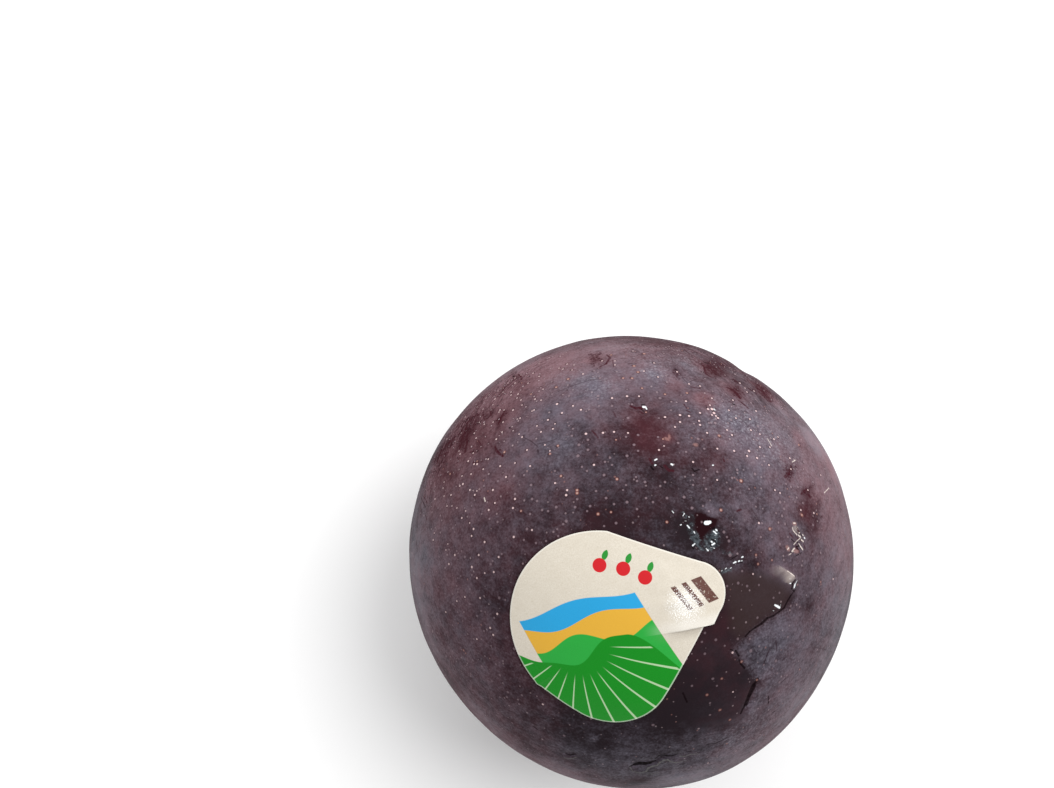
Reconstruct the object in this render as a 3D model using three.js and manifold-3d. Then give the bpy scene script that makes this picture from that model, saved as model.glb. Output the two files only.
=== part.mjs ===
// A round dark plum with a small paper label stuck to its skin, resting on a small flat spot.
// Millimetres, +Z up. The origin is the middle of the rest spot, straight below the fruit's centre.

import * as THREE from 'three';
import { mergeVertices } from 'three/addons/utils/BufferGeometryUtils.js';
import Module from 'manifold-3d';

// ---- Fruit: size, stance and ends ----
const FRUIT_RADIUS = 31.0;
const TIP_AZIMUTH = 100;              // degrees from +X: the tip leans to the back
const TIP_ELEVATION = 67;             // degrees above level; the stem end is opposite, underneath
const END_FLATTENING = 0.5;           // how far each end of the axis is pressed in
const TIP_DIMPLE = { depth: 0.3, width: 3.0 };
const STEM_CAVITY = { depth: 6.0, width: 5.2 };
const STEM_SHOULDER = { height: 0.6, distance: 12.0, width: 6.0 };
const REST_FLATTENING = 0.45;         // how far the underside is pressed flat where it rests

// ---- Fruit: the suture, a shallow seam from the stem end to the tip, down the back ----
const SUTURE_TURN = -50;              // degrees about the core's axis, from straight back
const SUTURE_DEPTH_AT_TIP = 0.25;
const SUTURE_DEPTH_AT_STEM = 1.15;
const SUTURE_WIDTH = 2.0;
const SUTURE_LIP = { height: 0.25, distance: 6.5, width: 4.0 };

// ---- Fruit: broad swells and hollows that keep it from being a true ball ----
const SWELLS = [
  { azimuth: 24, elevation: 25, height: 0.4, spread: 35 },
  { azimuth: 107, elevation: 31, height: 0.3, spread: 35 },
  { azimuth: 161, elevation: 20, height: 0.15, spread: 35 },
  { azimuth: -147, elevation: 3, height: -0.15, spread: 35 },
  { azimuth: -68, elevation: 20, height: 0.55, spread: 35 },
  { azimuth: -28, elevation: 26, height: -0.6, spread: 35 },
];

// ---- Label: where it sits, and its outline in its own flat plane ----
const LABEL_AZIMUTH = -113.8;
const LABEL_ELEVATION = 61.3;
const LABEL_SPIN = 45.7;              // degrees from level to the label's own x direction
const LABEL_GAP = 0.25;
const LABEL_THICKNESS = 0.25;
const LABEL_BODY = { x: 0, y: 0, radius: 10.7, from: -153, to: -292 };
const LABEL_TAB = { x: 11.2, y: 0.5, radius: 3.5, from: 58, to: -57 };
const LABEL_FOOT = { x: -0.6, y: -4.8, radius: 6.95, from: -46, to: -136 };
const PLEAT_STEP = [[11.9, -3.55], [11.0, -3.35]];

// ---- Mesh fineness ----
const FRUIT_ROWS = 56;
const FRUIT_COLUMNS = 80;
const ROW_CROWDING = 0.3;             // rows crowd towards the stem cavity
const COLUMN_CROWDING = 0.35;         // columns crowd towards the suture
const LABEL_EDGE_POINTS = 60;
const LABEL_RINGS = 6;

const radians = THREE.MathUtils.degToRad;
const bell = (distance, width) => Math.exp(-((distance / width) ** 2));

function direction(azimuth, elevation) {
  const level = Math.cos(radians(elevation));
  return new THREE.Vector3(
    level * Math.cos(radians(azimuth)),
    level * Math.sin(radians(azimuth)),
    Math.sin(radians(elevation)),
  );
}

// The fruit's own axes: the core's axis to the tip, the suture's side, and the side square to both.
const tipward = direction(TIP_AZIMUTH, TIP_ELEVATION);
const straightBack = direction(TIP_AZIMUTH, TIP_ELEVATION - 90);
const sutureward = straightBack.applyAxisAngle(tipward, radians(SUTURE_TURN));
const cheekward = new THREE.Vector3().crossVectors(tipward, sutureward);
const swells = SWELLS.map((swell) => ({ ...swell, toward: direction(swell.azimuth, swell.elevation) }));

// Distance from the fruit's centre to its skin in a unit direction.
function skinRadius(toward) {
  const alongAxis = THREE.MathUtils.clamp(toward.dot(tipward), -1, 1);
  const angleFromTip = Math.acos(alongAxis);
  const fromTip = FRUIT_RADIUS * angleFromTip;
  const fromStem = FRUIT_RADIUS * (Math.PI - angleFromTip);
  const turn = Math.atan2(toward.dot(cheekward), toward.dot(sutureward));
  const fromSuture = FRUIT_RADIUS * Math.sin(angleFromTip) * turn;
  const stemShare = (angleFromTip / Math.PI) ** 2;
  const sutureDepth = THREE.MathUtils.lerp(SUTURE_DEPTH_AT_TIP, SUTURE_DEPTH_AT_STEM, stemShare);

  let radius = FRUIT_RADIUS;
  radius -= END_FLATTENING * alongAxis ** 2;
  radius -= TIP_DIMPLE.depth * bell(fromTip, TIP_DIMPLE.width);
  radius -= STEM_CAVITY.depth * bell(fromStem, STEM_CAVITY.width);
  radius += STEM_SHOULDER.height * bell(fromStem - STEM_SHOULDER.distance, STEM_SHOULDER.width);
  radius -= sutureDepth * bell(fromSuture, SUTURE_WIDTH);
  const sutureSide = Math.sin(angleFromTip) * (1 + Math.cos(turn)) / 2;
  radius += SUTURE_LIP.height * sutureSide * bell(fromSuture - SUTURE_LIP.distance, SUTURE_LIP.width);
  for (const swell of swells) {
    const apart = THREE.MathUtils.radToDeg(toward.angleTo(swell.toward));
    radius += swell.height * bell(apart, swell.spread);
  }
  return radius;
}

const CENTRE_HEIGHT = skinRadius(new THREE.Vector3(0, 0, -1)) - REST_FLATTENING;

// ---- Solids to cut with ----
const wasm = await Module();
wasm.setup();

function toSolid(geometry) {
  const bare = geometry.clone();
  bare.deleteAttribute('normal');
  bare.deleteAttribute('uv');
  const merged = mergeVertices(bare);
  return new wasm.Manifold(new wasm.Mesh({
    numProp: 3,
    vertProperties: Float32Array.from(merged.attributes.position.array),
    triVerts: Uint32Array.from(merged.index.array),
  }));
}

function toGeometry(solid) {
  const mesh = solid.getMesh();
  const geometry = new THREE.BufferGeometry();
  geometry.setAttribute('position', new THREE.BufferAttribute(mesh.vertProperties, mesh.numProp));
  geometry.setIndex(new THREE.BufferAttribute(mesh.triVerts, 1));
  geometry.computeVertexNormals();
  return geometry;
}

// ---- Fruit: a ball whose poles lie on the core's axis, shaped by skinRadius and cut flat below ----
function fruitGeometry() {
  const ball = new THREE.SphereGeometry(1, FRUIT_COLUMNS, FRUIT_ROWS);
  const points = ball.attributes.position;
  const point = new THREE.Vector3();
  const toward = new THREE.Vector3();
  for (let i = 0; i < points.count; i += 1) {
    point.fromBufferAttribute(points, i);
    const evenAngle = Math.acos(THREE.MathUtils.clamp(point.y, -1, 1));
    const angleFromTip = evenAngle + ROW_CROWDING * Math.sin(evenAngle);
    const evenTurn = Math.atan2(point.z, point.x);
    const turn = evenTurn - COLUMN_CROWDING * Math.sin(evenTurn);
    const acrossAxis = Math.sin(angleFromTip);
    toward.set(0, 0, 0);
    toward.addScaledVector(tipward, Math.cos(angleFromTip));
    toward.addScaledVector(sutureward, acrossAxis * Math.cos(turn));
    toward.addScaledVector(cheekward, -acrossAxis * Math.sin(turn));
    toward.normalize();
    point.copy(toward).multiplyScalar(skinRadius(toward));
    points.setXYZ(i, point.x, point.y, point.z);
  }
  const blockSize = 4 * FRUIT_RADIUS;
  const below = new THREE.BoxGeometry(blockSize, blockSize, blockSize);
  below.translate(0, 0, -CENTRE_HEIGHT - blockSize / 2);
  return toGeometry(toSolid(ball).subtract(toSolid(below)));
}

// ---- Label: a thin sheet laid over the skin ----
function labelOutline() {
  const outline = new THREE.Path();
  const clockwise = true;
  const addArc = (arc) => {
    outline.absarc(arc.x, arc.y, arc.radius, radians(arc.from), radians(arc.to), clockwise);
  };
  addArc(LABEL_BODY);
  addArc(LABEL_TAB);
  for (const [x, y] of PLEAT_STEP) outline.lineTo(x, y);
  addArc(LABEL_FOOT);
  outline.closePath();
  return outline.getSpacedPoints(LABEL_EDGE_POINTS).slice(0, LABEL_EDGE_POINTS);
}

const labelOutward = direction(LABEL_AZIMUTH, LABEL_ELEVATION);
const labelLevel = direction(LABEL_AZIMUTH + 90, 0);
const labelX = labelLevel.clone().applyAxisAngle(labelOutward, radians(LABEL_SPIN));
const labelY = new THREE.Vector3().crossVectors(labelOutward, labelX);

// The place over the skin of a point of the flat label, a stated height above the skin.
function overSkin(x, y, height) {
  const reach = Math.hypot(x, y);
  const toward = labelOutward.clone();
  if (reach > 0) {
    const sideways = labelX.clone().multiplyScalar(x / reach).addScaledVector(labelY, y / reach);
    const bend = reach / FRUIT_RADIUS;
    toward.multiplyScalar(Math.cos(bend)).addScaledVector(sideways, Math.sin(bend));
  }
  return toward.multiplyScalar(skinRadius(toward) + height);
}

function labelGeometry() {
  const edge = labelOutline();
  const count = edge.length;
  const faceSize = 1 + count * LABEL_RINGS;
  const positions = [];
  for (const height of [LABEL_GAP + LABEL_THICKNESS, LABEL_GAP]) {
    positions.push(...overSkin(0, 0, height));
    for (let ring = 1; ring <= LABEL_RINGS; ring += 1) {
      const share = ring / LABEL_RINGS;
      for (const point of edge) positions.push(...overSkin(share * point.x, share * point.y, height));
    }
  }
  const at = (face, ring, place) => face * faceSize + 1 + (ring - 1) * count + (place % count);
  const indices = [];
  const addTriangle = (face, a, b, c) => indices.push(...(face === 0 ? [a, c, b] : [a, b, c]));
  for (const face of [0, 1]) {
    for (let place = 0; place < count; place += 1) {
      addTriangle(face, face * faceSize, at(face, 1, place), at(face, 1, place + 1));
      for (let ring = 1; ring < LABEL_RINGS; ring += 1) {
        const inner = at(face, ring, place);
        const innerNext = at(face, ring, place + 1);
        const outer = at(face, ring + 1, place);
        const outerNext = at(face, ring + 1, place + 1);
        addTriangle(face, inner, outer, outerNext);
        addTriangle(face, inner, outerNext, innerNext);
      }
    }
  }
  for (let place = 0; place < count; place += 1) {
    const top = at(0, LABEL_RINGS, place);
    const topNext = at(0, LABEL_RINGS, place + 1);
    const under = at(1, LABEL_RINGS, place);
    const underNext = at(1, LABEL_RINGS, place + 1);
    indices.push(top, topNext, underNext, top, underNext, under);
  }
  const geometry = new THREE.BufferGeometry();
  geometry.setAttribute('position', new THREE.Float32BufferAttribute(positions, 3));
  geometry.setIndex(indices);
  geometry.computeVertexNormals();
  return geometry;
}

// ---- Finishes ----
const skin = new THREE.MeshStandardMaterial({ color: 0x3b2b36, roughness: 0.5, metalness: 0 });
const paper = new THREE.MeshStandardMaterial({ color: 0xd9d4c8, roughness: 0.6, metalness: 0 });

function subPart(name, geometry, material) {
  const mesh = new THREE.Mesh(geometry, material);
  mesh.name = name;
  return mesh;
}

// ---- The plum: both pieces are shaped about the fruit's centre, which is raised over the rest spot ----
const plum = new THREE.Group();
plum.name = 'plum';
const aboutCentre = new THREE.Group();
aboutCentre.position.z = CENTRE_HEIGHT;
aboutCentre.add(subPart('fruit', fruitGeometry(), skin));
aboutCentre.add(subPart('label', labelGeometry(), paper));
plum.add(aboutCentre);

export default plum;
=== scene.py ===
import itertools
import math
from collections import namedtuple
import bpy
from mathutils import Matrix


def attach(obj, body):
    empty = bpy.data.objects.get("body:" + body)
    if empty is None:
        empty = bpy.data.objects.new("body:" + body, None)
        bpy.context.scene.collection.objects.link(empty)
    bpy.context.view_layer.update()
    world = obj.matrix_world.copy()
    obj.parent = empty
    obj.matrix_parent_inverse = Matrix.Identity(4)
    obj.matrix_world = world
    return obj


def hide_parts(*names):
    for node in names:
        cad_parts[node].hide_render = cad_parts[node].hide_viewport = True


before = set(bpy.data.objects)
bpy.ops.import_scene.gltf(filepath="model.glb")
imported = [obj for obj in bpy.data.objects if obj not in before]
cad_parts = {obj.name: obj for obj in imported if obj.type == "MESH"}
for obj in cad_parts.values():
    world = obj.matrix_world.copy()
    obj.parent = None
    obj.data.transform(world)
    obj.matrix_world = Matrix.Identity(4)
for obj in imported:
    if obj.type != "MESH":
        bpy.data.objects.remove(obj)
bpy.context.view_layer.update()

# A round dark plum with a small paper label, dressed around its imported solids.
#
# Lengths are in millimetres until a mesh is written, which is in metres. Pixels are those of a frame 1054
# wide and 788 high. Marks that were placed one by one are given in them, and are carried on to the skin along
# the camera's line of sight, so they stay on the skin from every side.

from types import SimpleNamespace

import bpy
import numpy as np
from mathutils import Matrix, Vector

MM = 0.001
TINY = 1e-12

# ---- The fruit's form, as in the part's source ----
FRUIT_RADIUS = 31.0
TIP_AZIMUTH, TIP_ELEVATION = 100, 67
END_FLATTENING = 0.5
TIP_DIMPLE = dict(depth=0.3, width=3.0)
STEM_CAVITY = dict(depth=6.0, width=5.2)
STEM_SHOULDER = dict(height=0.6, distance=12.0, width=6.0)
REST_FLATTENING = 0.45
SUTURE_TURN = -50
SUTURE_DEPTH_AT_TIP, SUTURE_DEPTH_AT_STEM = 0.25, 1.15
SUTURE_WIDTH = 2.0
SUTURE_LIP = dict(height=0.25, distance=6.5, width=4.0)
SWELLS = (  # azimuth, elevation, height, spread in degrees
    (24, 25, 0.4, 35),
    (107, 31, 0.3, 35),
    (161, 20, 0.15, 35),
    (-147, 3, -0.15, 35),
    (-68, 20, 0.55, 35),
    (-28, 26, -0.6, 35),
)

# ---- The label's place and outline, as in the part's source ----
LABEL_AZIMUTH, LABEL_ELEVATION, LABEL_SPIN = -113.8, 61.3, 45.7
LABEL_BODY = dict(x=0, y=0, radius=10.7, start=-153, end=-292)
LABEL_TAB = dict(x=11.2, y=0.5, radius=3.5, start=58, end=-57)
LABEL_FOOT = dict(x=-0.6, y=-4.8, radius=6.95, start=-46, end=-136)
PLEAT_STEP = ((11.9, -3.55), (11.0, -3.35))

# ---- The camera: a phone held close, looking steeply down ----
FRAME_WIDTH, FRAME_HEIGHT = 1054, 788
FOCAL_PIXELS = 850
SENSOR_WIDTH = 36.0
NEAREST_SEEN = 0.01                   # metres
CAMERA_ELEVATION, CAMERA_ROLL = 70.0, 5.3
FRUIT_PIXEL = (625.3, 550.9)          # where the line of sight to the fruit's centre meets the frame
FRUIT_HALF_ANGLE = 14.25              # degrees that the fruit's radius takes up


def bell(distance, width):
    return np.exp(-(distance / width) ** 2)


def smooth(value, low, high):
    share = np.clip((value - low) / (high - low), 0, 1)
    return share * share * (3 - 2 * share)


def direction(azimuth, elevation):
    a, e = math.radians(azimuth), math.radians(elevation)
    return np.array([math.cos(e) * math.cos(a), math.cos(e) * math.sin(a), math.sin(e)])


def turned(vector, axis, degrees):
    """A vector at right angles to an axis, turned about it."""
    a = math.radians(degrees)
    return vector * math.cos(a) + np.cross(axis, vector) * math.sin(a)


tipward = direction(TIP_AZIMUTH, TIP_ELEVATION)
sutureward = turned(direction(TIP_AZIMUTH, TIP_ELEVATION - 90), tipward, SUTURE_TURN)
cheekward = np.cross(tipward, sutureward)


def core_places(toward):
    """The angle of unit directions from the tip, and their turn about the core from the suture."""
    from_tip = np.arccos(np.clip(toward @ tipward, -1, 1))
    turn = np.arctan2(toward @ cheekward, toward @ sutureward)
    return from_tip, turn


def skin_radius(toward):
    """The distance from the fruit's centre to its skin, in unit directions."""
    angle, turn = core_places(toward)
    from_tip, from_stem = FRUIT_RADIUS * angle, FRUIT_RADIUS * (math.pi - angle)
    from_suture = FRUIT_RADIUS * np.sin(angle) * turn
    deepening = (SUTURE_DEPTH_AT_STEM - SUTURE_DEPTH_AT_TIP) * (angle / math.pi) ** 2
    suture_side = np.sin(angle) * (1 + np.cos(turn)) / 2
    lip = bell(from_suture - SUTURE_LIP["distance"], SUTURE_LIP["width"])
    radius = FRUIT_RADIUS - END_FLATTENING * np.cos(angle) ** 2
    radius -= TIP_DIMPLE["depth"] * bell(from_tip, TIP_DIMPLE["width"])
    radius -= STEM_CAVITY["depth"] * bell(from_stem, STEM_CAVITY["width"])
    radius += STEM_SHOULDER["height"] * bell(from_stem - STEM_SHOULDER["distance"], STEM_SHOULDER["width"])
    radius -= (SUTURE_DEPTH_AT_TIP + deepening) * bell(from_suture, SUTURE_WIDTH)
    radius += SUTURE_LIP["height"] * suture_side * lip
    for azimuth, elevation, height, spread in SWELLS:
        apart = np.degrees(np.arccos(np.clip(toward @ direction(azimuth, elevation), -1, 1)))
        radius += height * bell(apart, spread)
    return radius


CENTRE_HEIGHT = float(skin_radius(np.array([[0.0, 0.0, -1.0]]))[0]) - REST_FLATTENING
fruit_centre = np.array([0, 0, CENTRE_HEIGHT])

# ---- Camera ----
looking = np.array([0, math.cos(math.radians(CAMERA_ELEVATION)), -math.sin(math.radians(CAMERA_ELEVATION))])
level_right = np.array([1.0, 0, 0])
camera_right = turned(level_right, looking, -CAMERA_ROLL)
camera_up = np.cross(camera_right, looking)


def sight_line(pixel):
    """The unit direction in which the camera sees a pixel."""
    across, up = pixel[0] - FRAME_WIDTH / 2, FRAME_HEIGHT / 2 - pixel[1]
    line = camera_right * across + camera_up * up + looking * FOCAL_PIXELS
    return line / np.linalg.norm(line)


camera_distance = FRUIT_RADIUS / math.sin(math.radians(FRUIT_HALF_ANGLE))
camera_place = fruit_centre - sight_line(FRUIT_PIXEL) * camera_distance


def pixels_of(places):
    """Where the camera sees places given from the fruit's centre."""
    seen = places + fruit_centre - camera_place
    depth = seen @ looking
    across = FRAME_WIDTH / 2 + FOCAL_PIXELS * (seen @ camera_right) / depth
    down = FRAME_HEIGHT / 2 - FOCAL_PIXELS * (seen @ camera_up) / depth
    return np.stack([across, down], -1)


def make_camera():
    lens = bpy.data.cameras.new("camera")
    lens.sensor_width = SENSOR_WIDTH
    lens.lens = SENSOR_WIDTH * FOCAL_PIXELS / FRAME_WIDTH
    lens.clip_start = NEAREST_SEEN
    camera = bpy.data.objects.new("camera", lens)
    bpy.context.collection.objects.link(camera)
    axes = np.stack([camera_right, camera_up, -looking], 1)
    camera.matrix_world = Matrix.Translation(camera_place * MM) @ Matrix(axes.tolist()).to_4x4()
    bpy.context.scene.camera = camera


# ---- Node helper ----
class Nodes:
    """Short calls that add nodes to one material."""

    def __init__(self, name):
        self.material = bpy.data.materials.new(name)
        self.material.use_nodes = True
        self.tree = self.material.node_tree
        self.shader = self.tree.nodes["Principled BSDF"]

    def wire(self, value, socket):
        """Link a node's output to a socket, or set the socket's own value; None leaves it alone."""
        if isinstance(value, bpy.types.NodeSocket):
            self.tree.links.new(value, socket)
        elif value is not None:
            socket.default_value = (*value, 1) if socket.type == "RGBA" else value

    def node(self, kind, inputs=(), **settings):
        made = self.tree.nodes.new(kind)
        for key, value in settings.items():
            setattr(made, key, value)
        for key, value in dict(inputs).items():
            self.wire(value, made.inputs[key])
        return made

    def math(self, operation, *values):
        made = self.node("ShaderNodeMath", operation=operation)
        for value, socket in zip(values, made.inputs):
            self.wire(value, socket)
        return made.outputs[0]

    def vector(self, operation, a, b=None, scale=None, out="Vector"):
        made = self.node("ShaderNodeVectorMath", {0: a, 1: b}, operation=operation)
        if scale is not None:
            self.wire(scale, made.inputs["Scale"])
        return made.outputs[out]

    def add(self, a, b):
        return self.math("ADD", a, b)

    def minus(self, a, b):
        return self.math("SUBTRACT", a, b)

    def times(self, first, *others):
        for other in others:
            first = self.math("MULTIPLY", first, other)
        return first

    def times_add(self, a, b, c):
        return self.math("MULTIPLY_ADD", a, b, c)

    def most(self, first, *others):
        for other in others:
            first = self.math("MAXIMUM", first, other)
        return first

    def band(self, value, low, high, to_low=0.0, to_high=1.0):
        """A smooth step from to_low to to_high as value goes from low to high."""
        inputs = {"Value": value, "From Min": low, "From Max": high, "To Min": to_low, "To Max": to_high}
        return self.node("ShaderNodeMapRange", inputs, interpolation_type="SMOOTHSTEP").outputs[0]

    def mix(self, share, a, b):
        """A blend of two colours, whose sockets are the mix node's own 6 and 7, with its result in 2."""
        made = self.node("ShaderNodeMix", {"Factor": share, 6: a, 7: b}, data_type="RGBA")
        return made.outputs[2]

    def spread(self, pattern, amount, base):
        """A base moved up and down by a noise around its middle value."""
        return self.times_add(self.minus(pattern, 0.5), amount, base)

    def attribute(self, name, out="Fac"):
        return self.node("ShaderNodeAttribute", attribute_name=name).outputs[out]

    def paint(self, colour, *layers):
        """A colour with layers laid over it, each given as a share and a tint."""
        for share, tint in layers:
            colour = self.mix(share, colour, tint)
        return colour

    def parts(self, kind, value):
        """The three numbers of a vector, for the kind XYZ, or of a colour, for the kind Color."""
        made = self.node("ShaderNodeSeparate" + kind)
        self.wire(value, made.inputs[0])
        return made.outputs[:3]

    def noise(self, place, scale, detail, roughness):
        inputs = {"Vector": place, "Scale": scale, "Detail": detail, "Roughness": roughness}
        return self.node("ShaderNodeTexNoise", inputs).outputs["Fac"]

    def cells(self, place, scale):
        """Distance to the nearest of points scattered in space, and a chance colour of that point's own."""
        made = self.node("ShaderNodeTexVoronoi", {"Vector": place, "Scale": scale}, feature="F1")
        return self.math("DIVIDE", made.outputs["Distance"], scale), made.outputs["Color"]

    def places(self):
        """The surface's own place, in millimetres."""
        coordinates = self.node("ShaderNodeTexCoord").outputs["Object"]
        return self.vector("SCALE", coordinates, scale=1 / MM)

    def bump(self, height, depth):
        inputs = {"Height": height, "Distance": depth * MM, "Strength": 1.0}
        self.wire(self.node("ShaderNodeBump", inputs).outputs[0], self.shader.inputs["Normal"])


def store(mesh, name, values):
    """Give a mesh's points one number or one vector each, for the material to read by name."""
    kind, field = ("FLOAT", "value") if values.ndim == 1 else ("FLOAT_VECTOR", "vector")
    layer = mesh.attributes.new(name, kind, "POINT")
    layer.data.foreach_set(field, np.ascontiguousarray(values, dtype=np.float32).ravel())


def make_piece(name, places, faces, corners):
    """A smooth mesh object, with its map for the export."""
    mesh = bpy.data.meshes.new(name)
    mesh.from_pydata((places * MM).tolist(), [], faces)
    mesh.polygons.foreach_set("use_smooth", [True] * len(mesh.polygons))
    mesh.update()
    mesh.uv_layers.new(name="OFBake").data.foreach_set("uv", np.array(corners, dtype=np.float32).ravel())
    piece = bpy.data.objects.new(name, mesh)
    bpy.context.collection.objects.link(piece)
    return piece


# ---- Skin mesh: two round caps of small even cells, a fine one that faces the camera and the rest ----
CAP_CELLS = 216
NEAR_CAP_ANGLE = 62.0
MAP_MARGIN = 0.004

camera_pole = (camera_place - fruit_centre) / camera_distance
pole_side = np.cross(camera_up, camera_pole)
pole_side /= np.linalg.norm(pole_side)
pole_up = np.cross(camera_pole, pole_side)


def square_to_disc(cells):
    """Points of a square grid bent into a unit disc, with cells of equal areas, and the grid itself."""
    line = np.linspace(-1, 1, cells + 1)
    a, b = np.meshgrid(line, line, indexing="ij")
    wide = np.abs(a) > np.abs(b)
    longer, shorter = np.where(wide, a, b), np.where(wide, b, a)
    lean = math.pi / 4 * np.divide(shorter, longer, out=np.zeros_like(longer), where=longer != 0)
    turn = np.where(wide, lean, math.pi / 2 - lean)
    return longer * np.cos(turn), longer * np.sin(turn), a, b


def cap_directions(pole, reach):
    """Unit directions of a cap's grid, from its pole out to the angle reach."""
    x, y, _, _ = square_to_disc(CAP_CELLS)
    out = np.hypot(x, y)
    angle = 2 * np.arcsin(np.clip(out, 0, 1) * math.sin(math.radians(reach) / 2))
    sideways = x[..., None] * pole_side + y[..., None] * pole_up
    return pole * np.cos(angle)[..., None] + (np.sin(angle) / np.maximum(out, TINY))[..., None] * sideways


def skin_grid():
    """Unit directions, quads and map corners of the whole skin. Each cap takes one half of the map."""
    near = cap_directions(camera_pole, NEAR_CAP_ANGLE)
    rest = cap_directions(-camera_pole, 180 - NEAR_CAP_ANGLE)
    side = CAP_CELLS + 1
    near_ids = np.arange(side * side).reshape(side, side)
    rest_ids = near_ids.copy()
    rest_ids[1:-1, 1:-1] = side * side + np.arange((side - 2) ** 2).reshape(side - 2, side - 2)
    toward = np.concatenate([near.reshape(-1, 3), rest[1:-1, 1:-1].reshape(-1, 3)])
    _, _, a, b = square_to_disc(CAP_CELLS)
    order = ((0, 0), (1, 0), (1, 1), (0, 1))
    quads, corners = [], []
    for ids, low, ends in ((near_ids, 0.5, order), (rest_ids, 0.0, order[::-1])):
        across = MAP_MARGIN + (1 - 2 * MAP_MARGIN) * (a + 1) / 2
        up = low + MAP_MARGIN + (0.5 - 2 * MAP_MARGIN) * (b + 1) / 2
        flat = np.stack([across, up], -1)
        parts = [(slice(i, CAP_CELLS + i), slice(j, CAP_CELLS + j)) for i, j in ends]
        quads.append(np.stack([ids[part] for part in parts], -1).reshape(-1, 4))
        corners.append(np.stack([flat[part] for part in parts], -2).reshape(-1, 2))
    return toward, np.concatenate(quads), np.concatenate(corners)


# ---- Placing marks on the skin ----
PIXEL = 0.1385                        # the length on the fruit of one pixel, where it faces the camera
FAR = 1e3
DEEPEST, SHALLOWEST = -3.0, 3.0
LEAST_FACING = 0.02                   # skin turned further from the camera takes no outlines or strokes
SIGHT_ROUNDS = 4
RUN_CLEARANCE = 0.56                  # around a run, where its layer holds no other
SHORTEST_REACH = 1e-6                 # keeps a run of no length from a division by zero
RUN_POINTS = 5                        # places on a run that its distance from others is taken at
UPPER_END, LOWER_START = 470, 600     # pixels down the frame, between which strengths go over
DOT_LENGTH = 0.05                     # a dot is a very short stroke, in pixels


def on_skin(pixel):
    """The place from the fruit's centre where the camera's line of sight through a pixel meets the skin."""
    line = sight_line(pixel)
    start = camera_place - fruit_centre
    radius = FRUIT_RADIUS
    for _ in range(SIGHT_ROUNDS):
        middle = -(start @ line)
        short = max(radius ** 2 - start @ start + middle ** 2, 0)
        met = start + line * (middle - math.sqrt(short))
        toward = met / np.linalg.norm(met)
        radius = float(skin_radius(toward[None])[0])
    return toward * radius


class Chart:
    """Places of the skin from the fruit's centre, with their pixels, to measure marks from."""

    def __init__(self, toward):
        self.places = toward * skin_radius(toward)[:, None]
        to_camera = camera_place - fruit_centre - self.places
        facing = (toward * to_camera).sum(1) / np.linalg.norm(to_camera, axis=1)
        self.seen = facing > LEAST_FACING
        self.pixels = pixels_of(self.places)[self.seen]

    def spots(self, level, spots):
        """A level with soft spots added to it."""
        field = np.full(len(self.places), float(level))
        for x, y, reach, strength in spots:
            distance = np.linalg.norm(self.places - on_skin((x, y)), axis=1)
            field += strength * bell(distance, reach * PIXEL)
        return field

    def whole(self, seen_values, elsewhere):
        """Values for every place, from those of the places that are seen."""
        values = np.full(len(self.places), float(elsewhere))
        values[self.seen] = seen_values
        return values

    def from_stroke(self, stroke):
        """Distance in millimetres, share along it, and side: +1 on the right of someone who follows it."""
        best = np.full(len(self.pixels), FAR)
        along, side = np.zeros(len(best)), np.ones(len(best))
        points = np.array(stroke, float)
        for i, (a, b) in enumerate(zip(points[:-1], points[1:])):
            run = b - a
            share = np.clip((self.pixels - a) @ run / (run @ run), 0, 1)
            apart = self.pixels - a - share[:, None] * run
            distance = np.linalg.norm(apart, axis=1)
            nearer = distance < best
            best[nearer] = distance[nearer]
            along[nearer] = (i + share[nearer]) / (len(points) - 1)
            side[nearer] = np.sign(run[0] * apart[nearer, 1] - run[1] * apart[nearer, 0])
        return self.whole(best * PIXEL, FAR), self.whole(along, 0), self.whole(side, 1)

    def strokes(self, strokes):
        """How deep inside any stroke, of x, y and half a width in pixels, a place is, in millimetres."""
        depth = np.full(len(self.places), DEEPEST)
        for stroke in strokes:
            distance, along, _ = self.from_stroke([point[:2] for point in stroke])
            widths = [point[2] for point in stroke]
            half = np.interp(along, np.linspace(0, 1, len(widths)), widths) * PIXEL
            depth = np.maximum(depth, half - distance)
        return depth

    def near_runs(self, runs):
        """What is stored around each of some runs that are kept apart: where it lies, and its paint."""
        count = len(self.places)
        middle, reach, tint = np.zeros((3, count, 3))
        strength, half = np.zeros(count), np.full(count, -1.0)
        for run in runs:
            centre, axis = (run.start + run.end) / 2, (run.end - run.start) / 2
            off = self.places - centre
            share = np.clip(off @ axis / (axis @ axis + SHORTEST_REACH), -1, 1)
            near = np.linalg.norm(off - share[:, None] * axis, axis=1) < RUN_CLEARANCE
            middle[near], reach[near], tint[near] = centre, axis, run.tint
            strength[near], half[near] = run.strength, run.half
        return dict(middle=middle, reach=reach, tint=tint, strength=strength, half=half)

    def regions(self, regions):
        """How deep inside any closed outline of pixels a place is, in millimetres."""
        depth = np.full(len(self.places), DEEPEST)
        for region in regions:
            apart = signed_distance(self.pixels, np.array(region, float)) * PIXEL
            depth = np.maximum(depth, self.whole(np.clip(-apart, DEEPEST, SHALLOWEST), DEEPEST))
        return depth


Run = namedtuple("Run", "start end half tint strength")


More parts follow.
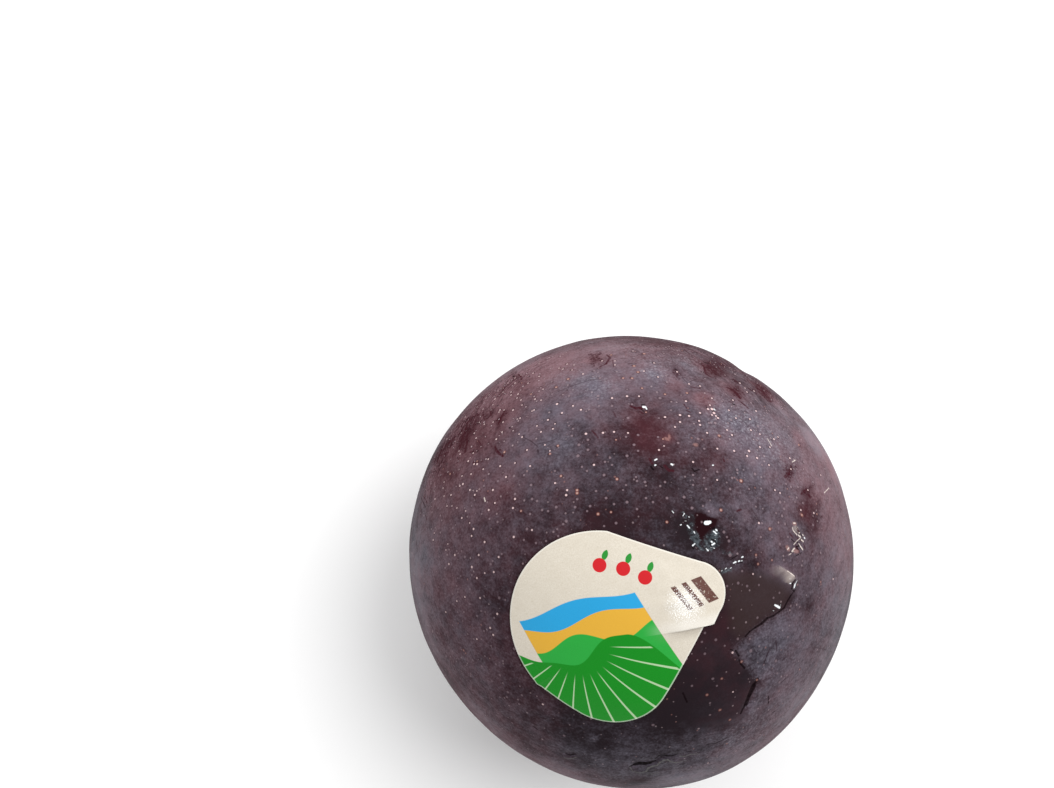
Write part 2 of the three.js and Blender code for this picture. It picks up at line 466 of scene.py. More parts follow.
def run_layers(groups):
    """Strokes cut into straight runs and spread over layers, so that within one no run comes near another.

    Each run is then known exactly at every mesh point around it, and stays sharp between them. Runs that
    cover earlier strokes come in later layers.
    """
    layers, placed = [], []
    for strokes, tint, upper, lower in groups:
        for stroke in strokes:
            strength = upper + (lower - upper) * smooth(stroke[0][1], UPPER_END, LOWER_START)
            own = []
            for (x0, y0, r0), (x1, y1, r1) in zip(stroke[:-1], stroke[1:]):
                run = Run(on_skin((x0, y0)), on_skin((x1, y1)), (r0 + r1) / 2 * PIXEL, tint, strength)
                points = run.start + np.linspace(0, 1, RUN_POINTS)[:, None] * (run.end - run.start)
                taken, lowest = set(), 0
                for other, other_points, layer, covered in placed + own:
                    gap = np.linalg.norm(points[:, None] - other_points[None], axis=2).min()
                    if gap < 2 * RUN_CLEARANCE:
                        taken.add(layer)
                    if covered and gap < run.half + other.half:
                        lowest = max(lowest, layer + 1)
                layer = next(i for i in range(lowest, len(layers) + lowest + 1) if i not in taken)
                while len(layers) <= layer:
                    layers.append([])
                layers[layer].append(run)
                own.append((run, points, layer, False))
            placed += [(run, points, layer, True) for run, points, layer, _ in own]
    return layers


def dots(table, scale):
    """Dots as strokes, from x, y and a radius in tenths of a pixel."""
    return [((x, y, r * scale / 10), (x + DOT_LENGTH, y, r * scale / 10)) for x, y, r in table]


def signed_distance(points, outline):
    """Distance of flat points from a closed outline, positive outside."""
    distance = np.full(len(points), FAR)
    inside = np.zeros(len(points), bool)
    for start, end in zip(outline, np.roll(outline, -1, 0)):
        run = end - start
        share = np.clip((points - start) @ run / (run @ run), 0, 1)
        distance = np.minimum(distance, np.linalg.norm(points - start - share[:, None] * run, axis=1))
        spans = (start[1] > points[:, 1]) != (end[1] > points[:, 1])
        rise = run[1] if run[1] else TINY
        inside ^= spans & (points[:, 0] < start[0] + run[0] * (points[:, 1] - start[1]) / rise)
    return np.where(inside, -distance, distance)


WAVE_COUNT = 40
WAVE_PACES = (0.7, 1.4)               # the range of their paces, as shares of the main one


def waves(places, length, seed):
    """A smooth random field with a spread near 1 and features of about half the given length."""
    draw = np.random.default_rng(seed)
    ways = draw.normal(size=(WAVE_COUNT, 3))
    ways /= np.linalg.norm(ways, axis=1)[:, None]
    pace = 2 * math.pi / length * draw.uniform(*WAVE_PACES, WAVE_COUNT)
    phase = draw.uniform(0, 2 * math.pi, WAVE_COUNT)
    return np.cos(places @ (ways * pace[:, None]).T + phase).sum(1) / math.sqrt(WAVE_COUNT / 2)


# ---- Soft spots: x, y, reach in pixels, strength ----
BLOOM_LEVEL = 0.475
BLOOM_AND_LIGHT_SPOTS = (
    # the shoulder turned to the light, with more bloom: partly painted light
    (594, 386, 22, 0.16), (656, 371, 14, 0.32), (688, 366, 12, 0.20), (738, 425, 30, 0.24),
    (722, 412, 12, 0.12), (775, 440, 36, 0.22), (800, 480, 30, 0.12), (840, 450, 24, 0.36),
    (562, 376, 26, 0.26), (640, 345, 30, 0.12), (806, 436, 12, 0.12), (762, 466, 16, 0.14),
    (838, 545, 16, 0.10), (500, 410, 30, 0.08), (540, 430, 24, 0.08),
    # the sides: more bloom at the rims, partly a painted reflection of the floor, and darker spots beside the
    # label as painted shade
    (530, 368, 24, 0.16), (816, 446, 12, 0.20), (745, 640, 10, 0.06), (740, 706, 12, 0.20),
    (715, 712, 16, 0.16), (700, 742, 16, 0.08), (600, 350, 20, 0.22), (600, 385, 34, 0.16),
    (645, 376, 26, 0.20), (588, 408, 20, 0.14), (780, 408, 14, 0.26), (812, 440, 14, 0.34),
    (632, 470, 12, 0.16), (640, 752, 34, 0.24), (700, 712, 22, 0.20), (750, 690, 14, 0.22),
    (630, 774, 20, 0.14), (418, 570, 14, 0.20), (660, 782, 18, 0.10), (600, 784, 20, 0.08),
    (420, 530, 10, 0.14), (848, 575, 12, 0.12), (560, 410, 14, 0.10), (640, 784, 26, 0.05),
    (555, 742, 22, 0.15), (660, 710, 18, -0.15), (722, 620, 10, -0.10), (720, 710, 12, 0.12),
    (768, 590, 16, 0.12), (455, 455, 12, -0.14), (645, 445, 50, -0.07), (812, 440, 16, 0.12),
    (782, 470, 14, -0.10), (485, 680, 18, 0.10), (612, 760, 22, 0.10), (560, 768, 26, 0.25),
    (480, 715, 24, 0.22), (430, 640, 22, 0.20), (740, 757, 26, 0.20), (800, 702, 24, 0.16),
    (846, 600, 20, 0.12), (412, 560, 14, 0.15), (850, 540, 14, 0.10), (690, 778, 24, 0.25),
    (842, 500, 40, 0.14), (836, 478, 50, 0.12), (840, 565, 30, 0.10), (420, 600, 26, 0.14),
    (693, 772, 40, 0.16), (771, 547, 6, 0.26), (710, 510, 7, 0.42), (545, 365, 24, 0.08),
    (720, 438, 10, 0.12), (560, 445, 14, 0.12), (612, 440, 12, 0.08), (690, 480, 14, 0.06),
    (430, 560, 24, 0.12), (425, 545, 10, 0.1), (765, 645, 22, 0.04), (795, 690, 36, 0.06),
    (594, 739, 5, 0.42), (720, 737, 14, 0.06), (740, 735, 24, 0.10), (530, 455, 20, 0.04),
    (750, 510, 30, 0.10), (745, 712, 14, 0.14), (820, 600, 30, 0.05), (480, 560, 20, 0.08),
    (740, 450, 14, 0.08),
    # thin or rubbed bloom, and painted shade: less bloom beside the label's tab and foot, towards the bottom
    # and by the upper left edge
    (650, 343, 20, -0.24), (515, 385, 16, -0.12), (480, 402, 14, -0.16), (812, 526, 10, -0.14),
    (640, 780, 16, -0.20), (805, 511, 7, -0.14), (722, 622, 9, -0.30), (658, 712, 9, -0.30),
    (440, 590, 12, -0.10), (800, 470, 10, -0.10), (615, 535, 20, -0.12), (480, 440, 14, -0.10),
    (512, 500, 18, -0.14), (542, 530, 18, -0.16), (605, 530, 24, -0.16), (690, 528, 14, -0.24),
    (722, 535, 14, -0.10), (752, 560, 14, -0.18), (812, 502, 16, -0.22), (810, 530, 12, -0.10),
    (670, 475, 18, -0.12), (478, 425, 16, -0.10), (720, 622, 10, -0.26), (660, 710, 10, -0.24),
    (478, 560, 12, -0.10), (810, 612, 12, -0.14), (804, 500, 12, -0.10), (600, 742, 12, -0.20),
    (510, 650, 14, -0.10), (645, 425, 20, -0.28), (640, 448, 18, -0.18), (640, 510, 50, -0.18),
    (605, 440, 16, -0.16), (600, 530, 24, -0.14), (700, 520, 34, -0.16), (640, 745, 74, -0.32),
    (540, 730, 60, -0.17), (560, 620, 60, -0.25), (715, 540, 22, -0.10), (803, 515, 10, -0.20),
    (500, 560, 44, -0.12), (425, 470, 16, -0.40), (445, 445, 14, -0.20), (545, 480, 18, -0.10),
    (725, 625, 14, -0.15), (810, 600, 16, -0.14), (840, 500, 14, -0.15), (500, 680, 44, -0.09),
    (750, 560, 20, -0.18), (700, 455, 14, -0.08), (714, 455, 14, -0.08), (762, 388, 12, -0.15),
    (730, 368, 10, -0.1), (676, 387, 8, -0.08), (690, 700, 50, -0.30), (630, 400, 10, -0.08),
    (450, 475, 10, -0.1), (812, 505, 14, -0.1),
)
RUDDY_LEVEL = 0.36
RUDDY_SPOTS = (
    # red and brown
    (545, 368, 34, 0.56), (475, 425, 50, 0.62), (440, 475, 26, 0.20), (500, 400, 40, 0.25),
    (630, 350, 60, 0.15), (711, 370, 14, 0.40), (734, 391, 14, 0.40), (595, 359, 10, 0.35),
    (703, 397, 9, 0.30), (720, 438, 10, 0.15), (545, 365, 20, 0.15), (668, 438, 5, 0.50),
    (806, 512, 9, 0.25), (766, 393, 14, 0.50), (704, 400, 12, 0.35), (676, 387, 9, 0.35),
    (825, 500, 40, 0.30), (848, 560, 26, 0.25), (645, 424, 20, 0.40), (652, 446, 16, 0.25),
    (500, 489, 18, 0.30), (450, 510, 50, 0.20), (640, 340, 80, 0.15), (480, 650, 60, 0.10),
    (714, 455, 14, 0.25), (798, 438, 12, 0.30), (830, 465, 20, 0.30), (445, 590, 20, 0.15),
    (600, 425, 12, 0.15), (430, 480, 24, 0.15), (800, 475, 24, 0.15),
    # blue and grey
    (592, 386, 16, -0.25), (653, 373, 9, -0.30), (560, 445, 16, -0.20), (687, 366, 9, -0.20),
    (735, 422, 20, -0.15), (640, 745, 60, -0.42), (590, 750, 30, -0.15), (765, 650, 30, -0.30),
    (690, 540, 40, -0.25), (600, 470, 40, -0.10), (425, 555, 14, -0.2), (493, 603, 14, -0.15),
    (740, 470, 18, -0.10), (530, 400, 14, -0.10), (552, 410, 14, -0.15), (700, 345, 16, -0.1),
    (690, 700, 30, -0.20),
)
SPECKLE_LEVEL = 0.16
SPECKLE_SPOTS = (
    (490, 420, 70, 0.44), (720, 400, 70, 0.26), (800, 500, 40, 0.12), (440, 560, 60, 0.10),
    (620, 760, 90, -0.12),
)
FROST_LEVEL = 0.06
FROST_SPOTS = (
    (735, 420, 26, 0.85), (655, 370, 18, 0.65), (692, 362, 20, 0.60), (772, 440, 26, 0.60),
    (596, 386, 22, 0.50), (640, 348, 30, 0.35), (560, 376, 24, 0.30), (700, 430, 20, 0.25),
    (800, 480, 26, 0.30), (765, 655, 24, 0.40), (735, 735, 26, 0.35), (640, 470, 20, 0.25),
    (560, 450, 20, 0.25), (745, 495, 24, 0.30), (690, 490, 20, 0.3),
)
MATT_LEVEL = 0.0
MATT_SPOTS = (
    (430, 475, 26, 0.9), (455, 430, 30, 0.9), (490, 395, 30, 0.8), (525, 370, 24, 0.6), (690, 348, 24, 0.8),
    (730, 366, 24, 0.9), (765, 390, 24, 0.9), (640, 336, 30, 0.5),
)
SCUFF_LEVEL = 0.08
SCUFF_SPOTS = (
    (465, 425, 26, 0.85), (440, 470, 22, 0.70), (500, 405, 30, 0.35), (545, 362, 26, 0.35),
    (711, 368, 16, 0.85), (740, 385, 24, 0.65), (768, 395, 14, 0.55), (815, 505, 24, 0.45),
    (690, 385, 18, 0.35), (640, 360, 40, 0.15), (600, 355, 16, 0.45), (660, 465, 14, 0.30),
    (785, 470, 26, 0.25), (776, 665, 20, 0.35), (750, 690, 16, 0.35), (422, 505, 18, 0.50),
    (800, 430, 20, 0.15), (530, 740, 30, 0.1), (560, 440, 12, 0.1), (750, 520, 24, 0.1),
)

# ---- Outlines of skin with the bloom rubbed off, between the label, the crease and the scuffs below ----
CLEAN_REGIONS = (
    ((716, 574), (730, 576), (748, 576), (766, 577), (778, 582), (788, 589), (800, 600), (800, 620),
     (780, 640), (760, 650), (756, 665), (770, 680), (754, 703), (738, 717), (718, 724), (700, 725),
     (670, 720), (640, 715), (640, 690), (660, 640), (700, 590)),
)
BLOOMED_REGIONS = (  # beyond the crease and the scuffs
    ((800, 585), (796, 597), (789, 606), (782, 612), (768, 618.5), (758, 628), (750, 634), (744, 639),
     (732, 647), (731, 652), (742, 664), (749, 671), (757, 681), (751, 697), (745, 707), (752, 724),
     (780, 740), (830, 680), (860, 600), (850, 560)),
)
BROWN_REGIONS = (
    ((716, 568), (730, 572), (748, 573), (766, 574), (778, 578), (789, 586), (790, 594), (784, 606),
     (779, 610), (766, 617), (758, 625), (749, 632), (739, 638), (731, 630), (729, 612), (727, 590),
     (722, 575)),
)

# ---- Outlines of the smear above the label's tab, of rubbed patches and of the small bump's pale side, with its painted highlight ----
RAW_REGIONS = (
    ((694, 513), (701.7, 511.4), (706.7, 514.6), (712, 517.4), (716.4, 517), (719, 519), (716, 525),
     (713, 529), (709, 531), (705.4, 535), (704, 540), (701.7, 543.4), (699.8, 540), (697.8, 533.6),
     (695, 528), (695.4, 522.5), (694, 518)),
)
FILM_REGIONS = (
    ((688, 522), (692.4, 521), (693, 528), (697.5, 534.2), (700, 539.2), (700.8, 544.2), (706.7, 546.7),
     (711.7, 550), (706.7, 551.7), (698.3, 550), (692.5, 543), (689, 535), (688, 528)),
    ((705.8, 535), (711.7, 530.8), (718.3, 528.3), (719.2, 533.3), (719.2, 539.2), (718.3, 545),
     (714.2, 550), (709.2, 551.7), (705, 546.7), (704.6, 540)),
)
MAROON_REGIONS = (
    # over the left shoulder
    ((457.5, 440), (465.5, 424), (474.5, 415), (479.5, 419.5), (473.4, 431), (468.9, 442), (464.3, 451),
     (458.6, 449)),
    ((484.8, 415), (490.5, 411.6), (493.9, 408.2), (496, 410.5), (489.3, 418.4)),
    ((495, 421.8), (500.7, 415), (507.5, 411.6), (505, 419.5), (498.4, 426.4)),
    ((513, 371.8), (520, 376.4), (517.7, 382), (512, 378.6)),
    ((434, 462), (439, 451), (447, 442), (451, 443), (445, 452), (438, 464)),
    # over the right shoulder
    ((703.6, 361.6), (712.7, 358.2), (724, 365), (727.5, 374), (715, 378.6), (705.9, 371.8)),
    ((727.5, 387.7), (737.7, 386.6), (743.4, 393.4), (740, 399), (731, 394.5)),
    ((753.6, 381), (767.3, 390), (774, 401.4), (767.3, 401.4), (756, 390)),
    ((674, 367), (680, 374), (677.5, 378.6), (673, 373)),
    ((799, 490), (812.7, 485.5), (808, 497)),
    ((785.5, 462.7), (796.8, 467.3), (790, 481), (784.3, 474)),
    ((587, 354), (600, 352), (603, 361), (592, 365)),
)
SCAR_REGIONS = (  # the small bump's pale side, where a highlight is painted, and a scrape above it
    ((791, 526), (795, 525), (799, 528), (800.6, 533), (797, 534), (793, 531.6)),
    ((768, 568), (773, 565), (779, 565.6), (785, 569.4), (790, 573), (794, 577), (792.6, 580),
     (790, 584.6), (783, 582), (776, 577), (770, 573)),
)
# painted highlight: how bright the bump's pale side is painted, brightest along its ridge; the first spot is
# the scrape above it
SCAR_HIGHLIGHT_SPOTS = (
    (795, 528.6, 3.0, 0.42), (790, 576.5, 3.6, 0.62), (785.5, 573, 3.8, 0.44), (780, 569, 3.6, 0.26),
    (787, 581, 3.6, 0.26), (776, 570, 5, 0.12),
)

# ---- Strokes: points of x, y and half a width in pixels ----
FILM_STROKES = (  # dried bluish droplets
    ((681, 512, 0.2), (684, 515, 0.9), (687, 519, 0.9), (689, 523, 1.2)),
    ((691.4, 515.6, 0.2), (693.6, 519, 0.8)),
    ((716, 545, 1.0), (722, 549, 0.9), (727, 555, 1.0)),
    ((729, 552.6, 1.6), (730.6, 555.6, 1.8)),
    ((720, 572, 1.8), (726, 570.6, 2.0), (732, 568.6, 0.9)),
)
DARK_STROKES = (
    # the crease and the hollow beside the bump, dark partly as a real crack and partly as painted shade in
    # them
    ((796, 590, 0.4), (792, 596, 0.6), (789, 601, 0.8), (785, 608, 0.6), (780, 612, 0.6), (774, 616, 0.5),
     (768, 618.5, 0.8), (762, 624, 0.9), (756, 628, 0.6), (750, 632, 0.6), (745.5, 636.5, 0.9)),
    ((792.8, 579.6, 0.4), (791.6, 583.5, 0.9), (792, 588.6, 0.9)),
    ((796.8, 578.6, 0.4), (797.2, 583, 0.3)),
    ((793.5, 590, 0.5), (795.6, 592, 0.5)),
    # scuffs below the crease
    ((757.5, 679, 0.6), (754, 686, 2.0), (749.5, 696, 2.6), (746, 705, 1.6), (741, 713.5, 0.5)),
    ((731, 650, 0.7), (733, 650.5, 0.5)),
    ((736, 651, 0.8), (739, 656, 1.0)),
    ((739.5, 660, 0.6), (741, 664, 0.7), (745, 668.5, 1.1)),
    ((683, 693, 0.6), (687, 702, 0.9)),
    ((768, 696, 0.8), (768.3, 703, 0.4)),
    ((772.5, 712.5, 0.5), (775, 711, 0.6)),
    ((770, 719, 0.5), (770.2, 719.5, 0.5)),
    ((707, 745, 0.3), (716, 743.5, 0.6), (727, 738, 0.5)),
    # over the left shoulder
    ((509.4, 427.7, 0.8), (509.8, 427.8, 0.8)),
    ((513.4, 376.2, 0.9), (514, 376.6, 0.9)),
    ((478.4, 450.2, 0.5), (477.4, 451.7, 0.6)),
    ((474, 449.3, 0.3), (472.4, 452.2, 0.5)),
    # over the top and the right shoulder
    ((675, 369.2, 0.9), (676, 369.8, 0.8)),
    ((703.4, 362, 0.6), (708, 363.6, 0.7)),
    ((733, 404, 0.7), (734.6, 404.4, 0.7)),
    ((692, 468.4, 0.4), (694.5, 471.4, 0.7), (699, 469.6, 0.4)),
    # around the glints and the smear
    ((651, 466.5, 0.7), (653.4, 469.5, 1.1)),
    ((660, 466, 0.4), (663, 468, 0.5)),
    ((641.5, 404.6, 0.5), (645, 404.4, 0.6)),
    ((641.4, 408.6, 0.5), (644, 410.6, 0.4)),
    ((704.4, 520, 0.6), (704.6, 525, 0.6)),
    ((713, 528.6, 0.8), (714.4, 528, 0.9)),
    ((712, 539.8, 0.8), (714, 540.4, 1.0)),
    ((714.9, 541.4, 0.8), (715.8, 543.6, 0.7)),
    ((710.6, 543.8, 0.6), (711, 546.6, 0.8)),
    ((696.8, 546.8, 0.5), (697.4, 548.6, 0.5)),
    ((799.2, 545.8, 0.6), (796.6, 546.8, 0.7)),
    ((797, 548.6, 0.6), (798.6, 549.4, 0.5)),
    ((691.6, 545.4, 0.7), (693.4, 548.6, 0.6)),
    ((732, 558.6, 0.4), (737, 555.6, 0.5)),
    ((737, 563.4, 0.4), (742.4, 562, 0.4)),
    ((797, 541, 0.4), (801.4, 549, 0.5)),
    ((798.4, 531, 0.4), (801.4, 536.4, 0.4)),
    ((791.4, 539, 0.5), (795, 542.6, 0.4)),
    ((796, 556, 0.3), (802, 552.6, 0.4)),
    ((565.6, 754.4, 0.3), (570, 755.2, 0.7), (575.6, 754.6, 0.3)),
    ((533, 727, 0.4), (537, 730, 0.7)),
)
SCRATCH_STROKES = (  # faint and thin
    ((524, 437.5, 0.3), (531, 441, 0.4), (537, 446, 0.4)),
    ((537.5, 444, 0.3), (548, 442, 0.35), (557, 439, 0.3)),
    ((551, 360, 0.25), (541, 365, 0.4), (532, 369.6, 0.35)),
    ((558, 391.5, 0.3), (572, 386, 0.4), (590, 380, 0.4), (601, 378.5, 0.2)),
    ((569, 368, 0.25), (577, 365, 0.35), (585, 362.5, 0.25)),
    ((628, 364, 0.5), (636.5, 363.2, 0.5)),
    ((682, 377.4, 0.3), (687, 382.6, 0.5)),
    ((690, 381.6, 0.4), (696, 379.2, 0.3)),
    ((745, 411, 0.5), (748, 412.6, 0.5)),
    ((537.8, 450.4, 0.9), (538.2, 452, 0.9)),
    ((421, 497, 0.5), (425, 507, 0.8)),
    ((421, 506, 0.8), (421.6, 513, 1.0)),
    ((815, 647, 0.25), (824, 649, 0.3), (832, 652, 0.25)),
    ((776, 641, 0.8), (777, 651, 0.6)),
    ((782.5, 660, 0.8), (785, 657.5, 1.0)),
    ((781, 682, 0.5), (785, 678, 0.7)),
    ((770, 648, 0.6), (767, 656, 0.8), (764, 664, 0.5)),
)
SHADED_HOLLOW_STROKES = (  # the wrinkle underneath, towards the camera: painted shade in its hollows
    ((630, 766.6, 0.3), (634.6, 765.4, 1.2), (640, 764.2, 2.0), (645, 764.2, 2.0), (650, 763.6, 1.3),
     (655.6, 762, 0.6)),
    ((655.6, 759.4, 0.6), (660, 756, 0.9), (667, 756.8, 0.7), (672.6, 757, 0.5), (678, 755.6, 0.9)),
    ((647.6, 770.4, 0.5), (652.6, 771.2, 0.9), (657.6, 769.8, 0.4)),
    ((662, 763.6, 0.4), (666, 762.2, 0.5)),
    ((679, 764.8, 0.5), (685, 764, 0.4)),
    ((686, 752.8, 0.4), (691, 752, 0.4)),
)
HIGHLIT_RIDGE_STROKES = (  # raised edges of the wrinkle underneath, painted paler as a highlight
    ((630, 767, 0.4), (633, 770.6, 0.7), (640, 771.8, 0.8), (646, 770.6, 0.8), (648, 767.6, 0.8),
     (652, 766, 0.8), (657, 765, 0.8), (660, 762, 0.7), (664, 760, 0.7), (667.6, 759.3, 0.8),
     (670, 761, 0.8), (674, 762.2, 0.7), (679, 762.4, 0.6), (686, 761.4, 0.4)),
    ((646.6, 773.4, 0.5), (652, 774, 0.6), (659, 772.6, 0.4)),
    ((680.4, 757.6, 0.7), (685, 757, 0.7), (691, 755, 0.5), (699, 754.4, 0.4)),
    ((564.6, 757, 0.5), (571, 758, 0.7), (576.4, 756.8, 0.4)),
)
MAROON_STROKES = (
    # over the left shoulder, where the bloom is rubbed through
    ((479, 414, 0.5), (472, 417, 1.0), (467, 423, 1.2), (465, 431, 1.4), (461, 440, 1.8), (460, 448, 1.3)),
    ((467, 435, 0.8), (467, 444, 1.8), (465, 452, 0.9)),
    ((483, 414, 0.5), (484, 419.6, 0.8), (487.6, 418, 0.9), (491, 415, 0.9), (490, 410.6, 0.4)),
    ((504.6, 411.4, 0.8), (500.6, 418, 1.5), (498.4, 424, 0.5)),
    ((498.6, 409, 0.3), (496, 414.6, 0.6)),
    ((490.4, 443.4, 0.7), (491.6, 446.4, 0.8)),
    ((494.8, 446.4, 0.8), (495.8, 449.6, 1.4), (498.6, 453, 1.5), (502.6, 455.8, 0.9)),
    ((499.4, 449.4, 0.7), (501.6, 450.6, 0.8)),
    ((473.2, 462.4, 1.1), (475, 463.6, 1.2), (477.8, 462.4, 1.4)),
    ((481.4, 460.6, 0.8), (481.9, 461.4, 0.8)),
    ((469.4, 452.2, 0.7), (473, 451.6, 0.7)),
    ((516, 379, 0.4), (505, 387.4, 0.7), (498, 396, 0.8), (489, 407.4, 0.4)),
    ((518.4, 374.4, 0.8), (521, 376.6, 1.2), (521.6, 379.6, 0.8)),
    ((521, 371.4, 0.3), (536, 365, 0.6), (551, 357.6, 0.3)),
    ((438, 460, 0.8), (441, 452, 1.2), (450, 441.4, 0.8), (460, 433, 0.4)),
    ((440, 456, 0.7), (449, 452.4, 0.7)),
    ((447, 444.6, 0.8), (455, 439.6, 0.4)),
    ((470, 405, 0.3), (480, 395, 0.6), (490, 388, 0.3)),
    ((459, 458, 0.9), (457, 463, 0.6)),
    ((478, 440, 0.3), (481, 445, 0.5)),
    ((424, 497, 0.5), (427, 503, 0.5)),
    ((425, 515, 0.6), (426.4, 520, 0.5)),
    # beside the scratches on the right
    ((796, 528, 0.8), (799, 533.4, 1.0)),
    ((790, 533.6, 0.6), (793, 537.6, 1.0)),
    ((797, 538, 0.6), (802, 541.4, 0.6)),
    ((796, 546, 0.9), (799.4, 551.6, 1.0)),
    ((803.6, 544, 0.6), (805.6, 548.4, 0.6)),
    # over the top and the right shoulder
    ((607, 355, 0.9), (610, 358, 1.0), (606, 364, 1.4), (600, 367, 0.6)),
    ((612.6, 360, 0.5), (613.6, 367, 0.4)),
    ((631, 406, 0.6), (636, 407.6, 2.0), (641, 407.6, 1.6)),
    ((640, 411, 0.9), (643, 413.4, 0.8)),
    ((684, 349.6, 0.5), (689.4, 354.4, 0.8)),
    ((689.6, 350, 0.7), (692.4, 353, 0.5)),
    ((693, 355, 0.4), (698, 360, 0.4)),
    ((703, 365.6, 0.9), (706, 374, 1.4), (711, 377, 0.7)),
    ((707.6, 366, 0.9), (716, 372.4, 1.6)),
    ((718, 366.6, 0.9), (722, 372, 1.0)),
    ((726.6, 387.4, 0.6), (732, 389.4, 1.5), (737, 394, 2.0), (740, 398, 1.0)),
    ((740, 371, 0.6), (748, 378.4, 1.2), (756, 386, 1.4), (764, 394, 1.2), (771, 402, 0.8)),
    ((758, 385.6, 0.8), (768, 394, 1.2), (777, 403, 0.7)),
    ((770, 404, 0.4), (776, 408.6, 0.6), (783, 415.6, 0.3)),
    ((739, 400.4, 0.8), (748, 408, 1.2)),
    ((691, 387, 0.6), (700, 388.6, 0.8)),
    ((684, 404, 0.6), (686.6, 408, 0.6)),
    ((686.4, 410.4, 0.8), (690.4, 412.4, 0.6)),
    ((665, 466, 1.0), (669, 470, 1.8), (673, 470.4, 0.7)),
    ((649.6, 459, 0.8), (652, 463, 1.3)),
    ((723, 458.6, 0.6), (724, 461.4, 0.7)),
    ((592, 431, 0.4), (595, 434, 0.8), (598, 438, 0.4)),
    ((613.6, 412, 0.3), (616, 417.4, 0.6)),
    ((785, 477, 1.2), (789, 473, 1.6)),
    ((801, 494, 0.7), (806.4, 489, 1.0), (810, 497, 1.6)),
    ((737, 511, 0.7), (741, 509.6, 0.9)),
)
PALE_STROKES = (  # scraped and scarred skin, with a few painted glints among the scratches
    ((785.6, 570.8, 0.3), (789, 573, 0.5), (792, 575.6, 0.5)),
    ((793.2, 530.8, 0.3), (796.6, 534.7, 0.6)),
    ((797.9, 535.2, 0.5), (800, 537, 0.6)),
    ((798.4, 532.8, 0.5), (799, 532.9, 0.5)),
    ((792, 527, 0.2), (792.8, 530, 0.3)),
    ((802.2, 534.8, 0.5), (802.8, 535.3, 0.4)),
    ((798.9, 543.5, 0.3), (800.9, 546.6, 0.5), (803, 549.6, 0.6)),
    ((800.5, 537.6, 0.25), (797, 541, 0.3), (794, 544.6, 0.25)),
    ((801, 539.8, 0.5), (803, 541.6, 0.6)),
    ((792.4, 551.4, 0.4), (794.6, 548.4, 0.8)),
    ((788, 549.2, 0.5), (789, 548, 0.6)),
    ((793, 523.3, 0.5), (794.6, 523.4, 0.7)),
    ((789.4, 554.6, 0.3), (791.4, 553.6, 0.3)),
    ((767.6, 438.6, 0.2), (771.6, 445.6, 0.3)),
    ((792.4, 462, 0.3), (795.4, 460, 0.4)),
    ((829, 488, 0.3), (824.6, 492.6, 0.4)),
    ((484.4, 498, 0.5), (485.6, 501.4, 0.5)),
)
PATCH_STROKES = (  # corky, warm and pale
    ((787.4, 547.2, 1.8), (788.8, 549, 1.8)),
    ((795, 551, 1.6), (797.6, 551.2, 1.8)),
    ((793, 523.6, 1.3), (795, 523.8, 1.3)),
    ((665.6, 438.6, 1.2), (667.8, 439.2, 2.0)),
    ((669.2, 435.4, 0.9), (669.4, 438, 1.2)),
    ((801.6, 514.4, 1.2), (802.4, 515.2, 1.3)),
    ((695, 445, 1.7), (696, 445.2, 1.7)),
    ((718.8, 436.2, 1.4), (719.6, 436.4, 1.4)),
)
# painted highlights: small white glints painted into the skin's colour
PAINTED_GLINT_STROKES = (
    ((706.4, 522.9, 1.6), (707.6, 522.7, 1.6)),
    ((708.2, 522.3, 1.2), (710.2, 522.1, 1.1)),
    ((687.4, 525.4, 0.4), (689.4, 527.9, 0.5)),
    ((694, 531.4, 0.35), (694.8, 533, 0.35)),
    ((692.9, 545.4, 0.4), (694.9, 543.9, 0.6)),
    ((713.8, 531.4, 0.4), (715.1, 532.2, 0.6)),
    ((716, 529.8, 0.6), (717, 530.6, 0.5)),
    ((715.6, 533.4, 0.3), (716.6, 533.6, 0.4)),
    ((711.5, 541.6, 0.6), (711.9, 542.2, 0.7)),
    ((712.2, 544.6, 0.6), (714.5, 543.5, 0.7)),
    ((713.6, 548, 0.3), (714.4, 548.3, 0.3)),
    ((706.1, 548.7, 0.35), (708.3, 550.7, 0.4)),
    ((683, 515.8, 0.3), (684.4, 513.5, 0.35)),
    ((689, 516.6, 0.35), (689.2, 517, 0.3)),
    ((680.6, 525, 0.3), (681.4, 524.6, 0.35)),
    ((672.4, 511, 0.4), (673.6, 512.6, 0.3)),
    ((733.7, 562.9, 0.4), (735.9, 561.8, 0.5)),
    ((738.5, 561.3, 0.4), (739.6, 560.8, 0.45)),
    ((741.8, 560.8, 0.3), (742, 560.6, 0.3)),
    ((741.7, 557.3, 0.4), (743, 556.7, 0.5)),
    ((730, 568.6, 0.2), (731.1, 567.7, 0.3)),
    ((725.1, 569, 0.2), (726.3, 568.2, 0.25)),
    ((721.6, 570.9, 0.3), (722, 570.6, 0.25)),
    ((795.5, 580.6, 0.6), (795.1, 583, 0.6)),
    ((794.6, 584.2, 0.8), (794.3, 587.4, 0.9)),
    ((789.3, 583.4, 0.5), (789.9, 583.2, 0.5)),
    ((775.6, 605.3, 0.6), (777.6, 606.4, 0.9)),
    ((778.2, 606.6, 0.9), (780.6, 608, 1.0)),
    ((643.2, 406.6, 0.8), (645.2, 407.3, 0.8)),
    ((645.6, 407, 0.7), (646.6, 408.8, 0.6)),
    ((655.1, 460, 0.6), (656.8, 459.1, 0.7)),
    ((655.1, 465, 0.6), (655.6, 464.7, 0.6)),
    ((671.3, 464.1, 0.7), (672.7, 464.9, 0.7)),
    ((712.5, 465.5, 0.6), (712.9, 465.4, 0.6)),
    ((714, 409.1, 0.9), (714.4, 409.6, 0.9)),
    ((803.8, 537.7, 0.6), (804.4, 538.3, 0.6)),
)
